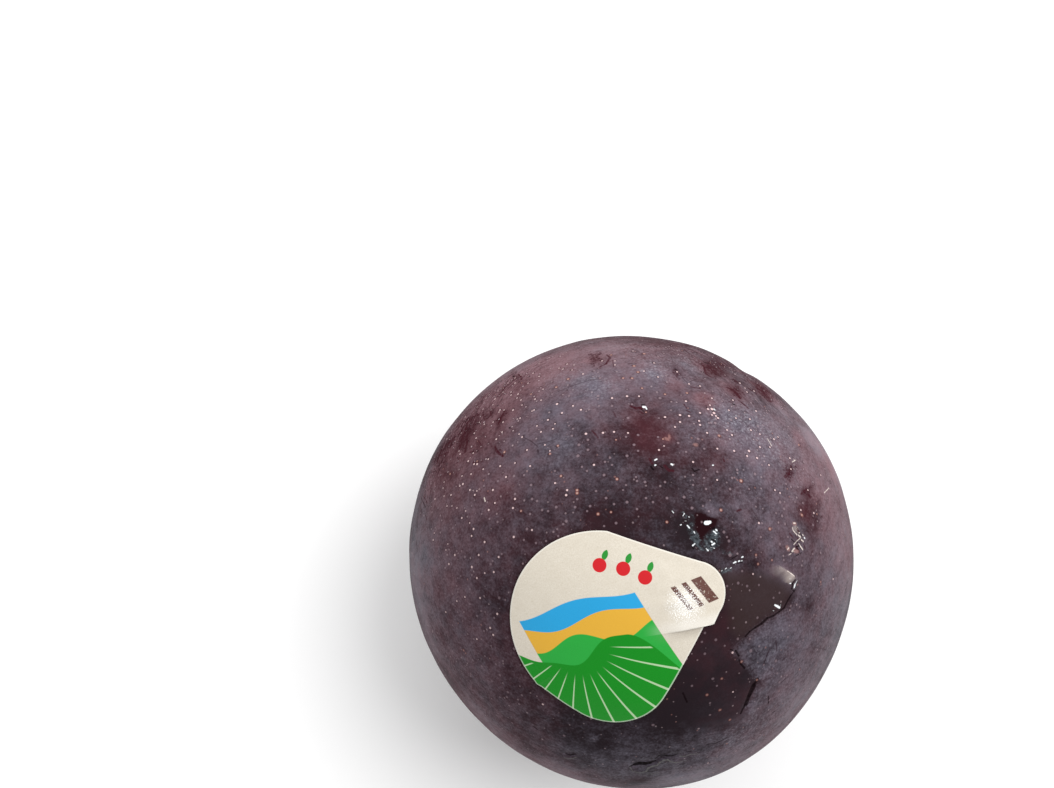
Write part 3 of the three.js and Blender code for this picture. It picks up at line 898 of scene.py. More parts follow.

# ---- Dots placed one by one: x, y, and radius in tenths of a pixel ----
PALE_DOTS = (
    (479, 422, 8), (474, 433, 9), (476, 438, 10), (496, 439, 11), (502, 432, 9), (522, 437, 10),
    (519, 434, 8), (500, 410, 10), (504, 410, 8), (513, 410, 11), (534, 410, 10), (520, 418, 9),
    (548, 420, 11), (555, 424, 8), (553, 429, 10), (537, 426, 9), (541, 432, 10), (545, 445, 9),
    (527, 450, 10), (495, 399, 11), (486, 398, 9), (493, 405, 8), (498, 391, 8), (511, 392, 9),
    (518, 394, 11), (517, 398, 9), (521, 400, 9), (522, 405, 8), (535, 399, 10), (541, 400, 9),
    (515, 383, 11), (528, 383, 9), (533, 373, 10), (539, 376, 10), (557, 404, 14), (468, 461, 12),
    (474, 464, 12), (477, 464, 13), (460, 454, 10), (459, 451, 8), (473, 453, 9), (488, 459, 9),
    (483, 469, 9), (500, 466, 11), (515, 463, 9), (530, 466, 10), (471, 474, 10), (462, 476, 9),
    (463, 484, 13), (460, 486, 10), (444, 482, 8), (443, 488, 8), (493, 490, 12), (470, 490, 11),
    (477, 491, 8), (506, 477, 11), (453, 431, 9), (447, 439, 9), (461, 433, 7), (515, 378, 10),
    (451, 495, 11), (444, 496, 8), (435, 499, 11), (447, 506, 9), (452, 506, 7), (457, 508, 8),
    (466, 511, 8), (475, 495, 11), (495, 503, 10), (489, 510, 11), (513, 508, 11), (515, 499, 12),
    (462, 518, 11), (470, 523, 8), (474, 529, 12), (472, 536, 11), (434, 533, 8), (433, 540, 11),
    (485, 542, 12), (448, 544, 8), (446, 550, 8), (455, 555, 12), (479, 555, 11), (499, 557, 11),
    (449, 564, 12), (472, 567, 13), (494, 572, 11), (485, 573, 9), (477, 578, 11), (465, 597, 10),
    (480, 598, 10), (457, 601, 10), (446, 612, 11), (497, 614, 12), (490, 628, 12), (493, 635, 12),
    (477, 639, 10), (532, 530, 10), (514, 537, 12), (555, 483, 10), (567, 490, 11), (566, 495, 12),
    (594, 465, 11), (603, 433, 12), (586, 434, 13), (614, 432, 11), (628, 433, 10), (612, 398, 12),
    (627, 396, 12), (639, 396, 10), (581, 410, 12), (573, 406, 10), (562, 413, 11), (567, 364, 10),
    (572, 370, 8), (574, 365, 8), (583, 374, 11), (602, 361, 10), (615, 361, 9), (615, 365, 10),
    (633, 351, 9), (627, 338, 9), (654, 363, 10), (644, 371, 10), (658, 377, 10), (677, 372, 11),
    (665, 417, 12), (689, 384, 11), (700, 386, 11), (686, 401, 12), (680, 415, 13), (689, 416, 12),
    (700, 413, 11), (680, 422, 11), (699, 421, 11), (700, 425, 11), (675, 427, 10), (707, 433, 11),
    (712, 398, 10), (717, 449, 10), (693, 462, 10), (717, 480, 9), (734, 451, 11), (749, 451, 14),
    (747, 456, 11), (757, 458, 12), (769, 465, 10), (760, 434, 9), (760, 447, 11), (770, 447, 9),
    (774, 439, 11), (778, 437, 9), (751, 430, 11), (732, 435, 11), (727, 430, 10), (736, 418, 10),
    (750, 419, 11), (756, 411, 11), (729, 410, 10), (733, 400, 10), (740, 383, 11), (745, 388, 8),
    (754, 391, 11), (747, 392, 10), (735, 374, 10), (790, 458, 11), (791, 469, 9), (659, 450, 10),
    (708, 409, 13), (712, 409, 17), (714, 413, 16), (712, 415, 11), (716, 416, 12), (718, 418, 13),
    (710, 405, 10), (563, 369, 9), (559, 368, 8), (543, 389, 8), (511, 395, 10), (503, 392, 8),
    (499, 412, 8), (532, 411, 8), (517, 419, 7), (484, 424, 9), (493, 422, 8), (503, 422, 9), (550, 451, 8),
    (456, 427, 8), (465, 417, 8), (469, 413, 7), (477, 407, 8), (480, 402, 7), (483, 409, 8), (485, 392, 8),
    (492, 387, 8), (499, 384, 8), (503, 381, 7), (527, 370, 7), (539, 363, 8), (549, 357, 8), (560, 356, 8),
    (566, 352, 7), (439, 446, 8), (444, 443, 8), (438, 459, 8), (468, 405, 7), (489, 395, 8), (508, 383, 8),
    (521, 375, 7), (533, 360, 8), (801, 510, 10), (814, 513, 11), (808, 490, 9), (759, 523, 11),
    (775, 490, 10), (780, 493, 9), (833, 579, 11), (753, 574, 9), (733, 653, 12), (733, 692, 9),
    (708, 763, 9), (543, 704, 11), (664, 446, 7), (821, 475, 9),
)
DULL_DOTS = (
    (441, 475, 9), (458, 461, 9), (544, 378, 8), (552, 394, 9), (484, 486, 11), (514, 476, 13),
    (524, 475, 11), (498, 481, 10), (531, 485, 12), (555, 471, 9), (438, 508, 10), (465, 508, 9),
    (472, 506, 8), (515, 494, 12), (532, 499, 12), (537, 501, 11), (530, 514, 11), (542, 510, 11),
    (548, 511, 10), (498, 522, 11), (490, 519, 10), (482, 514, 9), (527, 529, 12), (524, 540, 10),
    (536, 543, 10), (546, 541, 9), (453, 528, 10), (455, 532, 8), (457, 551, 9), (462, 551, 8),
    (465, 557, 12), (439, 557, 9), (445, 559, 8), (491, 564, 11), (493, 561, 9), (502, 554, 10),
    (472, 575, 9), (461, 576, 8), (458, 578, 8), (444, 579, 9), (439, 587, 9), (470, 589, 10),
    (453, 594, 11), (458, 592, 9), (484, 596, 9), (499, 598, 13), (453, 604, 10), (470, 604, 10),
    (505, 600, 9), (458, 612, 9), (481, 611, 10), (485, 612, 8), (477, 616, 10), (494, 618, 10),
    (453, 625, 10), (463, 621, 8), (484, 631, 10), (474, 639, 10), (468, 634, 11), (491, 646, 9),
    (514, 649, 13), (485, 656, 9), (473, 660, 12), (503, 661, 11), (467, 665, 11), (482, 666, 12),
    (496, 664, 10), (471, 674, 13), (500, 675, 12), (492, 681, 10), (503, 683, 11), (520, 686, 9),
    (508, 692, 13), (522, 695, 11), (507, 697, 13), (500, 697, 10), (537, 696, 9), (519, 704, 12),
    (512, 723, 10), (564, 736, 13), (653, 725, 13), (605, 462, 10), (610, 458, 10), (612, 465, 9),
    (587, 471, 10), (582, 467, 10), (604, 475, 12), (636, 477, 9), (637, 481, 10), (645, 482, 11),
    (665, 482, 10), (626, 485, 9), (623, 490, 8), (596, 491, 10), (606, 498, 11), (577, 499, 11),
    (556, 507, 12), (575, 507, 11), (590, 506, 11), (587, 511, 9), (614, 504, 10), (627, 502, 12),
    (646, 498, 10), (653, 502, 10), (667, 498, 11), (637, 509, 10), (566, 521, 13), (563, 524, 10),
    (557, 529, 9), (616, 523, 11), (604, 526, 9), (558, 536, 9), (573, 429, 10), (569, 426, 9),
    (572, 436, 11), (588, 440, 12), (579, 445, 13), (588, 450, 12), (578, 456, 14), (626, 437, 10),
    (638, 435, 11), (634, 445, 12), (658, 437, 10), (627, 456, 12), (638, 451, 10), (698, 439, 13),
    (678, 443, 11), (686, 452, 10), (693, 475, 10), (704, 478, 9), (706, 470, 9), (717, 472, 10),
    (704, 449, 10), (598, 396, 13), (589, 410, 10), (569, 396, 12), (594, 371, 10), (600, 378, 13),
    (604, 349, 10), (598, 399, 10), (632, 404, 10), (612, 406, 12), (628, 418, 12), (657, 392, 12),
    (660, 398, 13), (667, 382, 12), (666, 376, 11), (599, 406, 10), (658, 347, 9), (665, 345, 10),
    (634, 358, 9), (671, 410, 10), (659, 418, 9), (715, 423, 14), (709, 423, 11), (722, 401, 11),
    (731, 420, 12), (728, 423, 10), (739, 416, 10), (763, 425, 10), (757, 440, 12), (758, 426, 12),
    (767, 413, 11), (769, 411, 10), (726, 394, 10), (757, 401, 9), (737, 470, 12), (755, 474, 13),
    (732, 478, 11), (730, 489, 11), (749, 489, 9), (762, 465, 9), (781, 458, 10), (797, 469, 9),
    (804, 462, 12), (813, 464, 12), (803, 454, 10), (808, 434, 10), (813, 482, 12), (786, 484, 10),
    (791, 487, 11), (798, 487, 12), (780, 502, 14), (784, 509, 12), (782, 516, 13), (776, 513, 10),
    (785, 524, 12), (803, 503, 10), (795, 502, 9), (813, 525, 12), (762, 523, 9), (761, 537, 11),
    (780, 544, 13), (788, 537, 10), (789, 555, 10), (784, 560, 11), (803, 561, 10), (816, 568, 10),
    (813, 554, 10), (759, 585, 9), (774, 598, 10), (780, 593, 10), (791, 606, 11), (800, 607, 10),
    (814, 615, 12), (811, 627, 10), (684, 497, 12), (706, 489, 10), (693, 485, 9), (703, 506, 9),
    (730, 555, 15), (727, 586, 9), (734, 628, 9), (728, 628, 8), (705, 633, 10), (716, 640, 12),
    (702, 642, 10), (725, 646, 9), (738, 639, 11), (751, 651, 16), (750, 639, 10), (764, 665, 10),
    (776, 661, 14), (777, 673, 10), (788, 637, 11), (779, 682, 13), (786, 675, 10), (713, 679, 12),
    (692, 686, 10), (717, 686, 9), (710, 703, 9), (710, 715, 10), (717, 756, 11), (769, 700, 9),
    (821, 637, 9), (803, 640, 11), (832, 550, 9), (838, 549, 9), (692, 508, 12), (724, 532, 12),
    (729, 541, 12), (727, 537, 9), (738, 583, 12), (747, 586, 11), (733, 618, 10), (758, 618, 11),
    (705, 654, 11), (711, 423, 10), (715, 423, 10), (742, 571, 10),
)
WARM_DOTS = (
    (504, 452, 15), (556, 387, 15), (568, 379, 16), (558, 446, 12), (550, 454, 12), (450, 474, 12),
    (477, 461, 10), (531, 394, 11), (464, 650, 14), (466, 653, 9), (521, 511, 12), (611, 355, 13),
    (634, 366, 16), (644, 354, 16), (638, 372, 15), (623, 378, 13), (632, 378, 15), (642, 388, 12),
    (665, 394, 12), (687, 393, 13), (663, 439, 9), (719, 436, 13), (741, 481, 18), (616, 440, 9),
    (561, 476, 13), (577, 490, 15), (577, 493, 16), (617, 479, 14), (598, 514, 15), (611, 512, 11),
    (667, 522, 13), (721, 510, 15), (802, 515, 15), (817, 514, 10), (770, 529, 16), (756, 555, 12),
    (772, 560, 11), (758, 564, 12), (742, 662, 14), (799, 669, 11), (757, 680, 13), (722, 679, 13),
    (707, 695, 14), (720, 710, 16), (730, 720, 14), (727, 744, 11), (799, 445, 12), (821, 582, 12),
    (646, 412, 9),
)

# ---- Small forms: height in millimetres, half a width in pixels, points ----
RELIEF_STROKES = (
    (0.40, 3.4, ((777, 568), (784, 571.5), (790, 575.5), (794, 579))),
    (0.12, 5.0, ((774, 575), (782, 580), (790, 586))),
    (0.05, 3.0, ((683, 514), (688, 526), (696, 537), (702, 547))),
    (0.05, 3.4, ((717, 528), (714, 540), (707, 550))),
    (-0.10, 3.4, ((705, 517), (703, 528), (702, 540))),
    (0.10, 3.0, ((793, 523), (799, 534), (803, 540))),
    (-0.16, 2.0, ((631.7, 766.7), (638, 763.3), (646.7, 762), (655, 762.5), (660, 758.3), (667, 755.8),
     (681, 756))),
    (0.12, 2.2, ((631, 768), (643, 772.5), (650, 768.5), (657, 765.8), (660, 761.8), (668, 759.3),
     (678, 764.2))),
    (-0.12, 3.0, ((677, 772), (690, 773), (703, 772))),
    (-0.14, 1.8, ((565, 754.4), (570, 753.5), (575.8, 754.8))),
    (0.08, 1.8, ((564, 756.4), (569, 757.6), (576, 756.8))),
    (-0.10, 2.0, ((533, 727), (537, 729))),
    (-0.12, 2.6, ((754, 684), (749, 699), (743, 711))),
    (0.07, 3.0, ((761, 684), (756, 700), (750, 713))),
    (-0.05, 2.4, ((731, 650), (742, 664), (748, 670))),
    (-0.10, 2.6, ((651, 458), (655, 466))),
    (-0.10, 2.6, ((667, 469), (673, 469))),
    (-0.12, 3.6, ((636, 407), (643, 409))),
    (0.10, 1.8, ((644, 405), (646, 407))),
)
CREASE = (
    (797, 586), (795.8, 590.8), (791.2, 597.7), (788, 603), (783.5, 607.7), (778, 612.3), (768, 617.5),
    (757, 627), (750, 633), (743, 639),
)
CREASE_GROOVE = dict(depth=0.16, width=0.20)
CREASE_STEP = dict(depth=0.14, reach=3.0, edge=0.3)
CREASE_WHOLE = (0.15, 0.75)           # shares of its course between which the crease has its full depth
SKIN_WAVES = ((0.035, 16, 1), (0.012, 5, 2))    # height, length and seed


def relief(toward):
    """Small forms on the skin, in millimetres, on top of the fruit's main form."""
    chart = Chart(toward)
    height = sum(rise * waves(chart.places, length, seed) for rise, length, seed in SKIN_WAVES)
    for rise, half, stroke in RELIEF_STROKES:
        distance, _, _ = chart.from_stroke(stroke)
        height += rise * bell(distance, half * PIXEL)
    distance, along, side = chart.from_stroke(CREASE)
    ends = smooth(along, 0, CREASE_WHOLE[0]) * smooth(along, 1, CREASE_WHOLE[1])
    height -= CREASE_GROOVE["depth"] * bell(distance, CREASE_GROOVE["width"]) * ends
    lower = np.where(side > 0, np.exp(-distance / CREASE_STEP["reach"]), 0)
    height -= CREASE_STEP["depth"] * lower * smooth(distance, 0, CREASE_STEP["edge"]) * ends
    return height


# ---- Stem scar, at the bottom of the stem cavity ----
SCAR_RADIUS = 1.8
SCAR_RISE, SCAR_RIM_WIDTH = 0.21, 0.35
SCAR_EDGE = (0.3, -0.2)               # from its radius, between which its plate comes up
BARK_EDGE = (0.25, -0.15)             # the same for its colour


def stem_distance(toward):
    return FRUIT_RADIUS * np.arccos(np.clip(-(toward @ tipward), -1, 1))


def scar_height(toward):
    """How far the dry plate of the scar stands up, with a rim around it."""
    distance = stem_distance(toward)
    plate = smooth(distance, SCAR_RADIUS + SCAR_EDGE[0], SCAR_RADIUS + SCAR_EDGE[1])
    return SCAR_RISE * (plate + bell(distance - SCAR_RADIUS, SCAR_RIM_WIDTH))


def skin_place(toward, above=0.0):
    """The place on the finished skin in unit directions, or a height above it, in the frame's own axes."""
    radius = skin_radius(toward) + relief(toward) + scar_height(toward) + above
    places = toward * radius[:, None] + fruit_centre
    places[:, 2] = np.maximum(places[:, 2], 0)
    return places


# ---- Label: outline and bend, as in the part's source ----
COARSE_SPACING, FINE_SPACING = 0.5, 0.16        # between points of an outline to measure from or build with


def arc_points(arc, spacing):
    length = math.radians(abs(arc["end"] - arc["start"])) * arc["radius"]
    angles = np.radians(np.linspace(arc["start"], arc["end"], max(int(length / spacing), 2)))
    middle, radius = (arc["x"], arc["y"]), arc["radius"]
    return [(middle[0] + radius * math.cos(a), middle[1] + radius * math.sin(a)) for a in angles]


def outline_points(spacing):
    corners = [*arc_points(LABEL_BODY, spacing), *arc_points(LABEL_TAB, spacing), *PLEAT_STEP]
    corners += arc_points(LABEL_FOOT, spacing)
    points = []
    for start, end in zip(corners, corners[1:] + corners[:1]):
        start, end = np.array(start), np.array(end)
        steps = max(int(round(np.linalg.norm(end - start) / spacing)), 1)
        points += [start + (end - start) * i / steps for i in range(steps)]
    return np.array(points)


label_outward = direction(LABEL_AZIMUTH, LABEL_ELEVATION)
label_x = turned(direction(LABEL_AZIMUTH + 90, 0), label_outward, LABEL_SPIN)
label_y = np.cross(label_outward, label_x)


def label_directions(flat):
    """Unit directions from the fruit's centre of the flat label's points, when it is bent round the fruit."""
    reach = np.linalg.norm(flat, axis=1)
    sideways = (flat[:, :1] * label_x + flat[:, 1:] * label_y) / np.maximum(reach, TINY)[:, None]
    bend = reach[:, None] / FRUIT_RADIUS
    return label_outward * np.cos(bend) + sideways * np.sin(bend)


def from_outline(toward):
    """Distance in the flat label's own plane from its outline, positive outside."""
    bend = np.arccos(np.clip(toward @ label_outward, -1, 1))
    flat = np.stack([toward @ label_x, toward @ label_y], 1)
    flat *= (FRUIT_RADIUS * bend / np.maximum(np.linalg.norm(flat, axis=1), TINY))[:, None]
    return signed_distance(flat, outline_points(COARSE_SPACING))


# ---- Skin piece ----
SPOT_TABLES = dict(
    bloom=(BLOOM_LEVEL, BLOOM_AND_LIGHT_SPOTS),
    ruddy=(RUDDY_LEVEL, RUDDY_SPOTS),
    speckle=(SPECKLE_LEVEL, SPECKLE_SPOTS),
    frost=(FROST_LEVEL, FROST_SPOTS),
    matt=(MATT_LEVEL, MATT_SPOTS),
    scuffed=(SCUFF_LEVEL, SCUFF_SPOTS),
    scar_highlight=(0, SCAR_HIGHLIGHT_SPOTS),
)
REGION_TABLES = dict(
    clean=CLEAN_REGIONS,
    bloomed=BLOOMED_REGIONS,
    brown=BROWN_REGIONS,
    maroon=MAROON_REGIONS,
    raw=RAW_REGIONS,
    film=FILM_REGIONS,
    scar=SCAR_REGIONS,
)
MOST_BLOOM = 1.8
AWAY_FROM, AWAY_TO = 24, 44           # from the middle of the view, between which chance takes over
AWAY_BLOOM = dict(rise=0.12, length=24, seed=5)
AWAY_RUDDY = dict(rise=0.15, length=30, seed=6, lift=0.6)
AWAY_SPECKLE = 0.45
LABEL_SHADE = dict(share=0.8, width=0.35)         # painted contact shadow: the bloom is taken off close beside the label, darkening the skin there
STREAK_PRESS = 0.16                   # streaks run around the tip, drawn out by the inverse of this

# Kinds of fine marks: how ragged and how soft the edge is in millimetres, and the strength of a dark pit
# beside the mark, painted as its shade. A group is some strokes, their colour, and its strength on the upper
# and on the lower half.
MARK_FAMILIES = {
    "rub": dict(ragged=0.34, soft=0.08, pit=0.0, groups=(
        (MAROON_STROKES, (0.045, 0.0085, 0.0135), 0.96, 0.88),
    )),
    "patch": dict(ragged=0.30, soft=0.14, pit=0.0, groups=(
        (PATCH_STROKES, (0.40, 0.21, 0.19), 0.46, 0.46),
    )),
    "scrape": dict(ragged=0.14, soft=0.05, pit=0.0, groups=(
        (DARK_STROKES, (0.0065, 0.0030, 0.0040), 0.88, 0.85),
        (SCRATCH_STROKES, (0.020, 0.008, 0.012), 0.62, 0.62),
        (SHADED_HOLLOW_STROKES, (0.0075, 0.0055, 0.0062), 0.90, 0.90),
        (HIGHLIT_RIDGE_STROKES, (0.120, 0.116, 0.112), 0.62, 0.62),
        (PALE_STROKES, (0.76, 0.67, 0.61), 0.80, 0.80),
        (PAINTED_GLINT_STROKES, (0.86, 0.90, 0.92), 0.95, 0.95),
    )),
    "dot": dict(ragged=0.0, soft=0.055, pit=0.95, groups=(
        (dots(DULL_DOTS, 0.95), (0.34, 0.25, 0.28), 0.50, 0.30),
        (dots(PALE_DOTS, 0.78), (0.76, 0.56, 0.56), 0.90, 0.64),
        (dots(WARM_DOTS, 1.00), (0.38, 0.14, 0.11), 0.50, 0.24),
        (dots(WARM_DOTS, 0.50), (0.74, 0.51, 0.44), 0.62, 0.22),
    )),
}
PIT_SHADE_SHIFT = 0.26                      # the range on each axis of the painted shade's shift from its mark, a dark pit beside it
PIT_SHADE_EDGE = 0.15
PIT_SHADE_COLOUR = (0.020, 0.006, 0.010)


def store_fields(mesh, chart, toward):
    """Store what the material reads of the broad areas of the skin."""
    fields = {name: chart.spots(level, spots) for name, (level, spots) in SPOT_TABLES.items()}
    from_middle = np.linalg.norm(chart.places - on_skin(FRUIT_PIXEL), axis=1)
    away = smooth(from_middle, AWAY_FROM, AWAY_TO)
    bloom_waves = waves(chart.places, AWAY_BLOOM["length"], AWAY_BLOOM["seed"])
    ruddy_waves = waves(chart.places, AWAY_RUDDY["length"], AWAY_RUDDY["seed"])
    beside_label = bell(np.maximum(from_outline(toward), 0), LABEL_SHADE["width"])
    fields["bloom"] += AWAY_BLOOM["rise"] * away * bloom_waves
    # painted contact shadow of the label: less bloom, so darker skin, close beside it
    fields["bloom"] *= 1 - LABEL_SHADE["share"] * beside_label
    fields["ruddy"] += AWAY_RUDDY["rise"] * away * (ruddy_waves + AWAY_RUDDY["lift"])
    fields["speckle"] += AWAY_SPECKLE * away
    for name, field in fields.items():
        store(mesh, name, np.clip(field, 0, MOST_BLOOM if name == "bloom" else 1))
    for name, regions in REGION_TABLES.items():
        depth = chart.regions(regions)
        store(mesh, name, np.maximum(depth, chart.strokes(FILM_STROKES)) if name == "film" else depth)
    store(mesh, "stem", stem_distance(toward))
    angle, turn = core_places(toward)
    wide = FRUIT_RADIUS * np.sin(angle) * STREAK_PRESS
    store(mesh, "around", np.stack([FRUIT_RADIUS * angle, wide * np.cos(turn), wide * np.sin(turn)], 1))


def make_skin():
    toward, quads, corners = skin_grid()
    piece = make_piece("skin", skin_place(toward), quads.tolist(), corners)
    mesh = piece.data
    chart = Chart(toward)
    store_fields(mesh, chart, toward)
    store(mesh, "core", chart.places)
    counts = {}
    for family, kind in MARK_FAMILIES.items():
        layers = run_layers(kind["groups"])
        counts[family] = len(layers)
        for i, runs in enumerate(layers):
            for name, values in chart.near_runs(runs).items():
                store(mesh, f"{family}{i}_{name}", values)
    mesh.materials.append(skin_material(counts))
    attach(piece, "root")
    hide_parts("fruit")


# ---- Skin material ----
SKIN_NOISES = {  # shift in millimetres or none, scale, detail, roughness
    "broad": (None, 0.16, 3.0, 0.55),
    "mottle": (None, 0.50, 5.0, 0.62),
    "hue": ((40.0, 7.0, 0.0), 0.45, 4.0, 0.60),
    "blotch": (None, 1.5, 3.0, 0.65),
    "grain": (None, 3.4, 2.0, 0.7),
    "crystals": ((9.0, 0.0, 30.0), 2.9, 3.0, 0.75),
    "scuffs": ((0.0, 60.0, 9.0), 0.80, 5.0, 0.70),
}
STREAK_NOISES = {"streaks": (1.3, 4.0, 0.7), "brushed": (4.4, 2.0, 0.7)}
MASKS = {  # how far grain and blotches move the edge in millimetres, and the depths it fades in between
    "clean": (1.6, 0.0, -1.9, 0.9),
    "bloomed": (1.6, 0.0, 0.9, -0.5),
    "brown": (0.8, 0.0, -1.0, 0.9),
    "scar": (0.5, 0.0, -0.14, 0.14),
    "raw": (0.6, 0.9, -0.16, 0.20),
    "film": (1.0, 1.5, -0.22, 0.42),
    "maroon": (3.0, 2.4, -0.16, 0.14),
}
MOST_COVER = 0.82                     # the share of the skin's colour that whole wax hides
CLEAN_LOSS, FILM_LOSS, SCUFF_LOSS, MAROON_LOSS = 0.92, 0.80, 0.88, 0.88     # shares of the wax that are gone
LENTICELS = dict(scale=1.40, sizes=(0.075, 0.150))          # how close, and from how small to how large
MATT_LENTICELS = dict(scale=2.10, sizes=(0.050, 0.095), bright=0.95, halo=0.75)
FLESH, RUDDY_FLESH = (0.0180, 0.0122, 0.0152), (0.060, 0.0185, 0.0240)
BROWN_FLESH, SCUFFED_FLESH = (0.0340, 0.0205, 0.0210), (0.034, 0.0075, 0.0120)
MAROON_FLESH, RAW_FLESH = (0.034, 0.0050, 0.0090), (0.016, 0.0045, 0.0062)
WAX, RUDDY_WAX = (0.158, 0.142, 0.182), (0.240, 0.138, 0.158)
THICK_WAX = (0.380, 0.300, 0.330)
# painted sheen: the wax's colours at a slant, paler to stand in for the grazing reflection at the rims
PAINTED_SHEEN_WAX, PAINTED_SHEEN_RUDDY_WAX = (0.54, 0.53, 0.53), (0.58, 0.41, 0.46)
PALE_FROST, DARK_FROST = (0.430, 0.420, 0.470), (0.060, 0.042, 0.058)
DARK_BRUSHING, PALE_BRUSHING = (0.046, 0.010, 0.0155), (0.340, 0.200, 0.230)
# the film's pale flecks are painted highlights on its beads
THIN_FILM, THICK_FILM, FILM_HIGHLIGHT_FLECKS = (0.018, 0.021, 0.025), (0.092, 0.109, 0.122), (0.400, 0.450, 0.480)
PALE_SCAR_HIGHLIGHT = (0.500, 0.430, 0.390)
DARK_BARK, PALE_BARK = (0.16, 0.10, 0.055), (0.36, 0.26, 0.16)
HALO, PALE_LENTICEL, CORKY_LENTICEL = (0.018, 0.007, 0.010), (0.70, 0.53, 0.56), (0.56, 0.27, 0.23)
WAXED_ROUGHNESS, BARE_ROUGHNESS, MATT_ROUGHENING = 0.55, 0.38, 0.45
SKIN_GLOSS, SKIN_IOR, SKIN_BUMP = 0.005, 1.45, 0.02


def skin_patterns(n, place):
    """The noises, fields and masks that the skin's colours share."""
    skin = SimpleNamespace()
    around = n.attribute("around", "Vector")
    for name, (shift, *settings) in SKIN_NOISES.items():
        setattr(skin, name, n.noise(n.vector("ADD", place, shift) if shift else place, *settings))
    for name, settings in STREAK_NOISES.items():
        setattr(skin, name, n.noise(around, *settings))
    for name in ("frost", "matt", "scuffed", "speckle"):
        setattr(skin, name, n.attribute(name))
    for name, (by_grain, by_blotch, low, high) in MASKS.items():
        depth = n.spread(skin.blotch, by_blotch, n.spread(skin.grain, by_grain, n.attribute(name)))
        setattr(skin, name, n.band(depth, low, high))

    # maroon patches are broken by scuffs and flakes, and scuffed skin has small scrapes along the streaks
    skin.scuffs = n.spread(skin.streaks, 0.35, skin.scuffs)
    skin.flaky = n.spread(skin.grain, 0.8, skin.crystals)
    whole = n.band(n.spread(skin.grain, 1.5, skin.scuffs), 0.36, 0.80, 1.0, 0.88)
    skin.worn = n.times(whole, n.band(skin.flaky, 0.47, 0.57, 1.0, 0.62))
    skin.maroon = n.times(skin.maroon, skin.worn)
    skin.scuff = n.band(n.minus(skin.scuffs, n.band(skin.scuffed, 0.0, 1.0, 0.78, 0.50)), -0.012, 0.018)
    return skin


def wax_thickness(n, skin):
    """How thick the waxy bloom lies where nothing rubbed it: 0 is none, 1 is whole, and more is paler."""
    thickness = n.spread(skin.mottle, 0.62, n.spread(skin.broad, 0.35, n.attribute("bloom")))
    thickness = n.spread(skin.blotch, n.times_add(skin.frost, 0.55, 0.36), thickness)
    thickness = n.spread(skin.grain, 0.62, thickness)
    return n.spread(skin.streaks, n.times_add(skin.scuffed, 0.8, 0.25), thickness)


def wax_cover(n, skin, thickness):
    """How much of the skin's colour the wax hides, without the wax that is rubbed off."""
    clean = n.times(skin.clean, skin.bloomed, CLEAN_LOSS)
    rubbed = n.most(n.times(skin.scuff, SCUFF_LOSS), n.times(skin.maroon, MAROON_LOSS))
    bare = n.most(skin.raw, clean, n.times(skin.film, FILM_LOSS), rubbed)
    return n.times(n.band(thickness, 0.0, 1.0, 0.0, MOST_COVER), n.minus(1.0, bare))


def flesh_colour(n, skin, ruddy):
    """The dark skin under the wax."""
    return n.paint(
        n.mix(ruddy, FLESH, RUDDY_FLESH),
        (skin.brown, BROWN_FLESH),
        (n.times(skin.scuff, 0.8), SCUFFED_FLESH),
        (skin.maroon, MAROON_FLESH),
        (skin.raw, RAW_FLESH),
    )


def wax_colour(n, skin, ruddy, thickness):
    """Wax, paler where it is thick, paler at a slant as a painted sheen, with pale and dark flecks where
    frosty.
    """
    slant = n.node("ShaderNodeLayerWeight", {"Blend": 0.5}).outputs["Facing"]
    return n.paint(
        n.mix(ruddy, WAX, RUDDY_WAX),
        (n.band(thickness, 0.95, 1.7, 0.0, 0.6), THICK_WAX),
        # painted sheen, paler towards the rims
        (n.band(slant, 0.30, 0.95, 0.0, 0.21), n.mix(ruddy, PAINTED_SHEEN_WAX, PAINTED_SHEEN_RUDDY_WAX)),
        (n.times(n.band(skin.flaky, 0.53, 0.66), skin.frost, 0.52), PALE_FROST),
        (n.times(n.band(skin.flaky, 0.47, 0.34), skin.frost, 0.42), DARK_FROST),
    )


def lenticels(n, place, colour, scale, sizes, share, bright, halo):
    """Lay scattered dots on the colour: how close, how large, what share, how bright, how dark a halo."""
    distance, chance = n.cells(place, scale)
    red, green, blue = n.parts("Color", chance)
    present = n.math("LESS_THAN", red, share)
    inside = n.math("DIVIDE", distance, n.band(green, 0.0, 1.0, *sizes))
    dot = n.times(n.band(inside, 1.15, 0.55), present)
    ring = n.times(n.band(inside, 2.9, 1.15), present)
    tint = n.mix(n.band(blue, 0.82, 0.90), PALE_LENTICEL, CORKY_LENTICEL)
    strength = n.times(n.band(green, 0.0, 1.0, 0.40, 1.0), bright)
    return n.paint(colour, (n.times(ring, halo), HALO), (n.times(dot, strength), tint)), dot


def with_lenticels(n, skin, place, colour):
    """The colour with small pale dots all over, and with closer and smaller ones on matt skin."""
    share, halo = n.times_add(skin.speckle, 0.6, 0.35), n.times(skin.speckle, 0.55)
    bright = n.band(skin.speckle, 0.2, 0.95, 0.22, 1.0)
    colour, raised = lenticels(n, place, colour, share=share, bright=bright, halo=halo, **LENTICELS)
    shifted = n.vector("ADD", place, (50.0, 20.0, 0.0))
    colour, _ = lenticels(n, shifted, colour, share=n.times(skin.matt, 0.60), **MATT_LENTICELS)
    return colour, raised


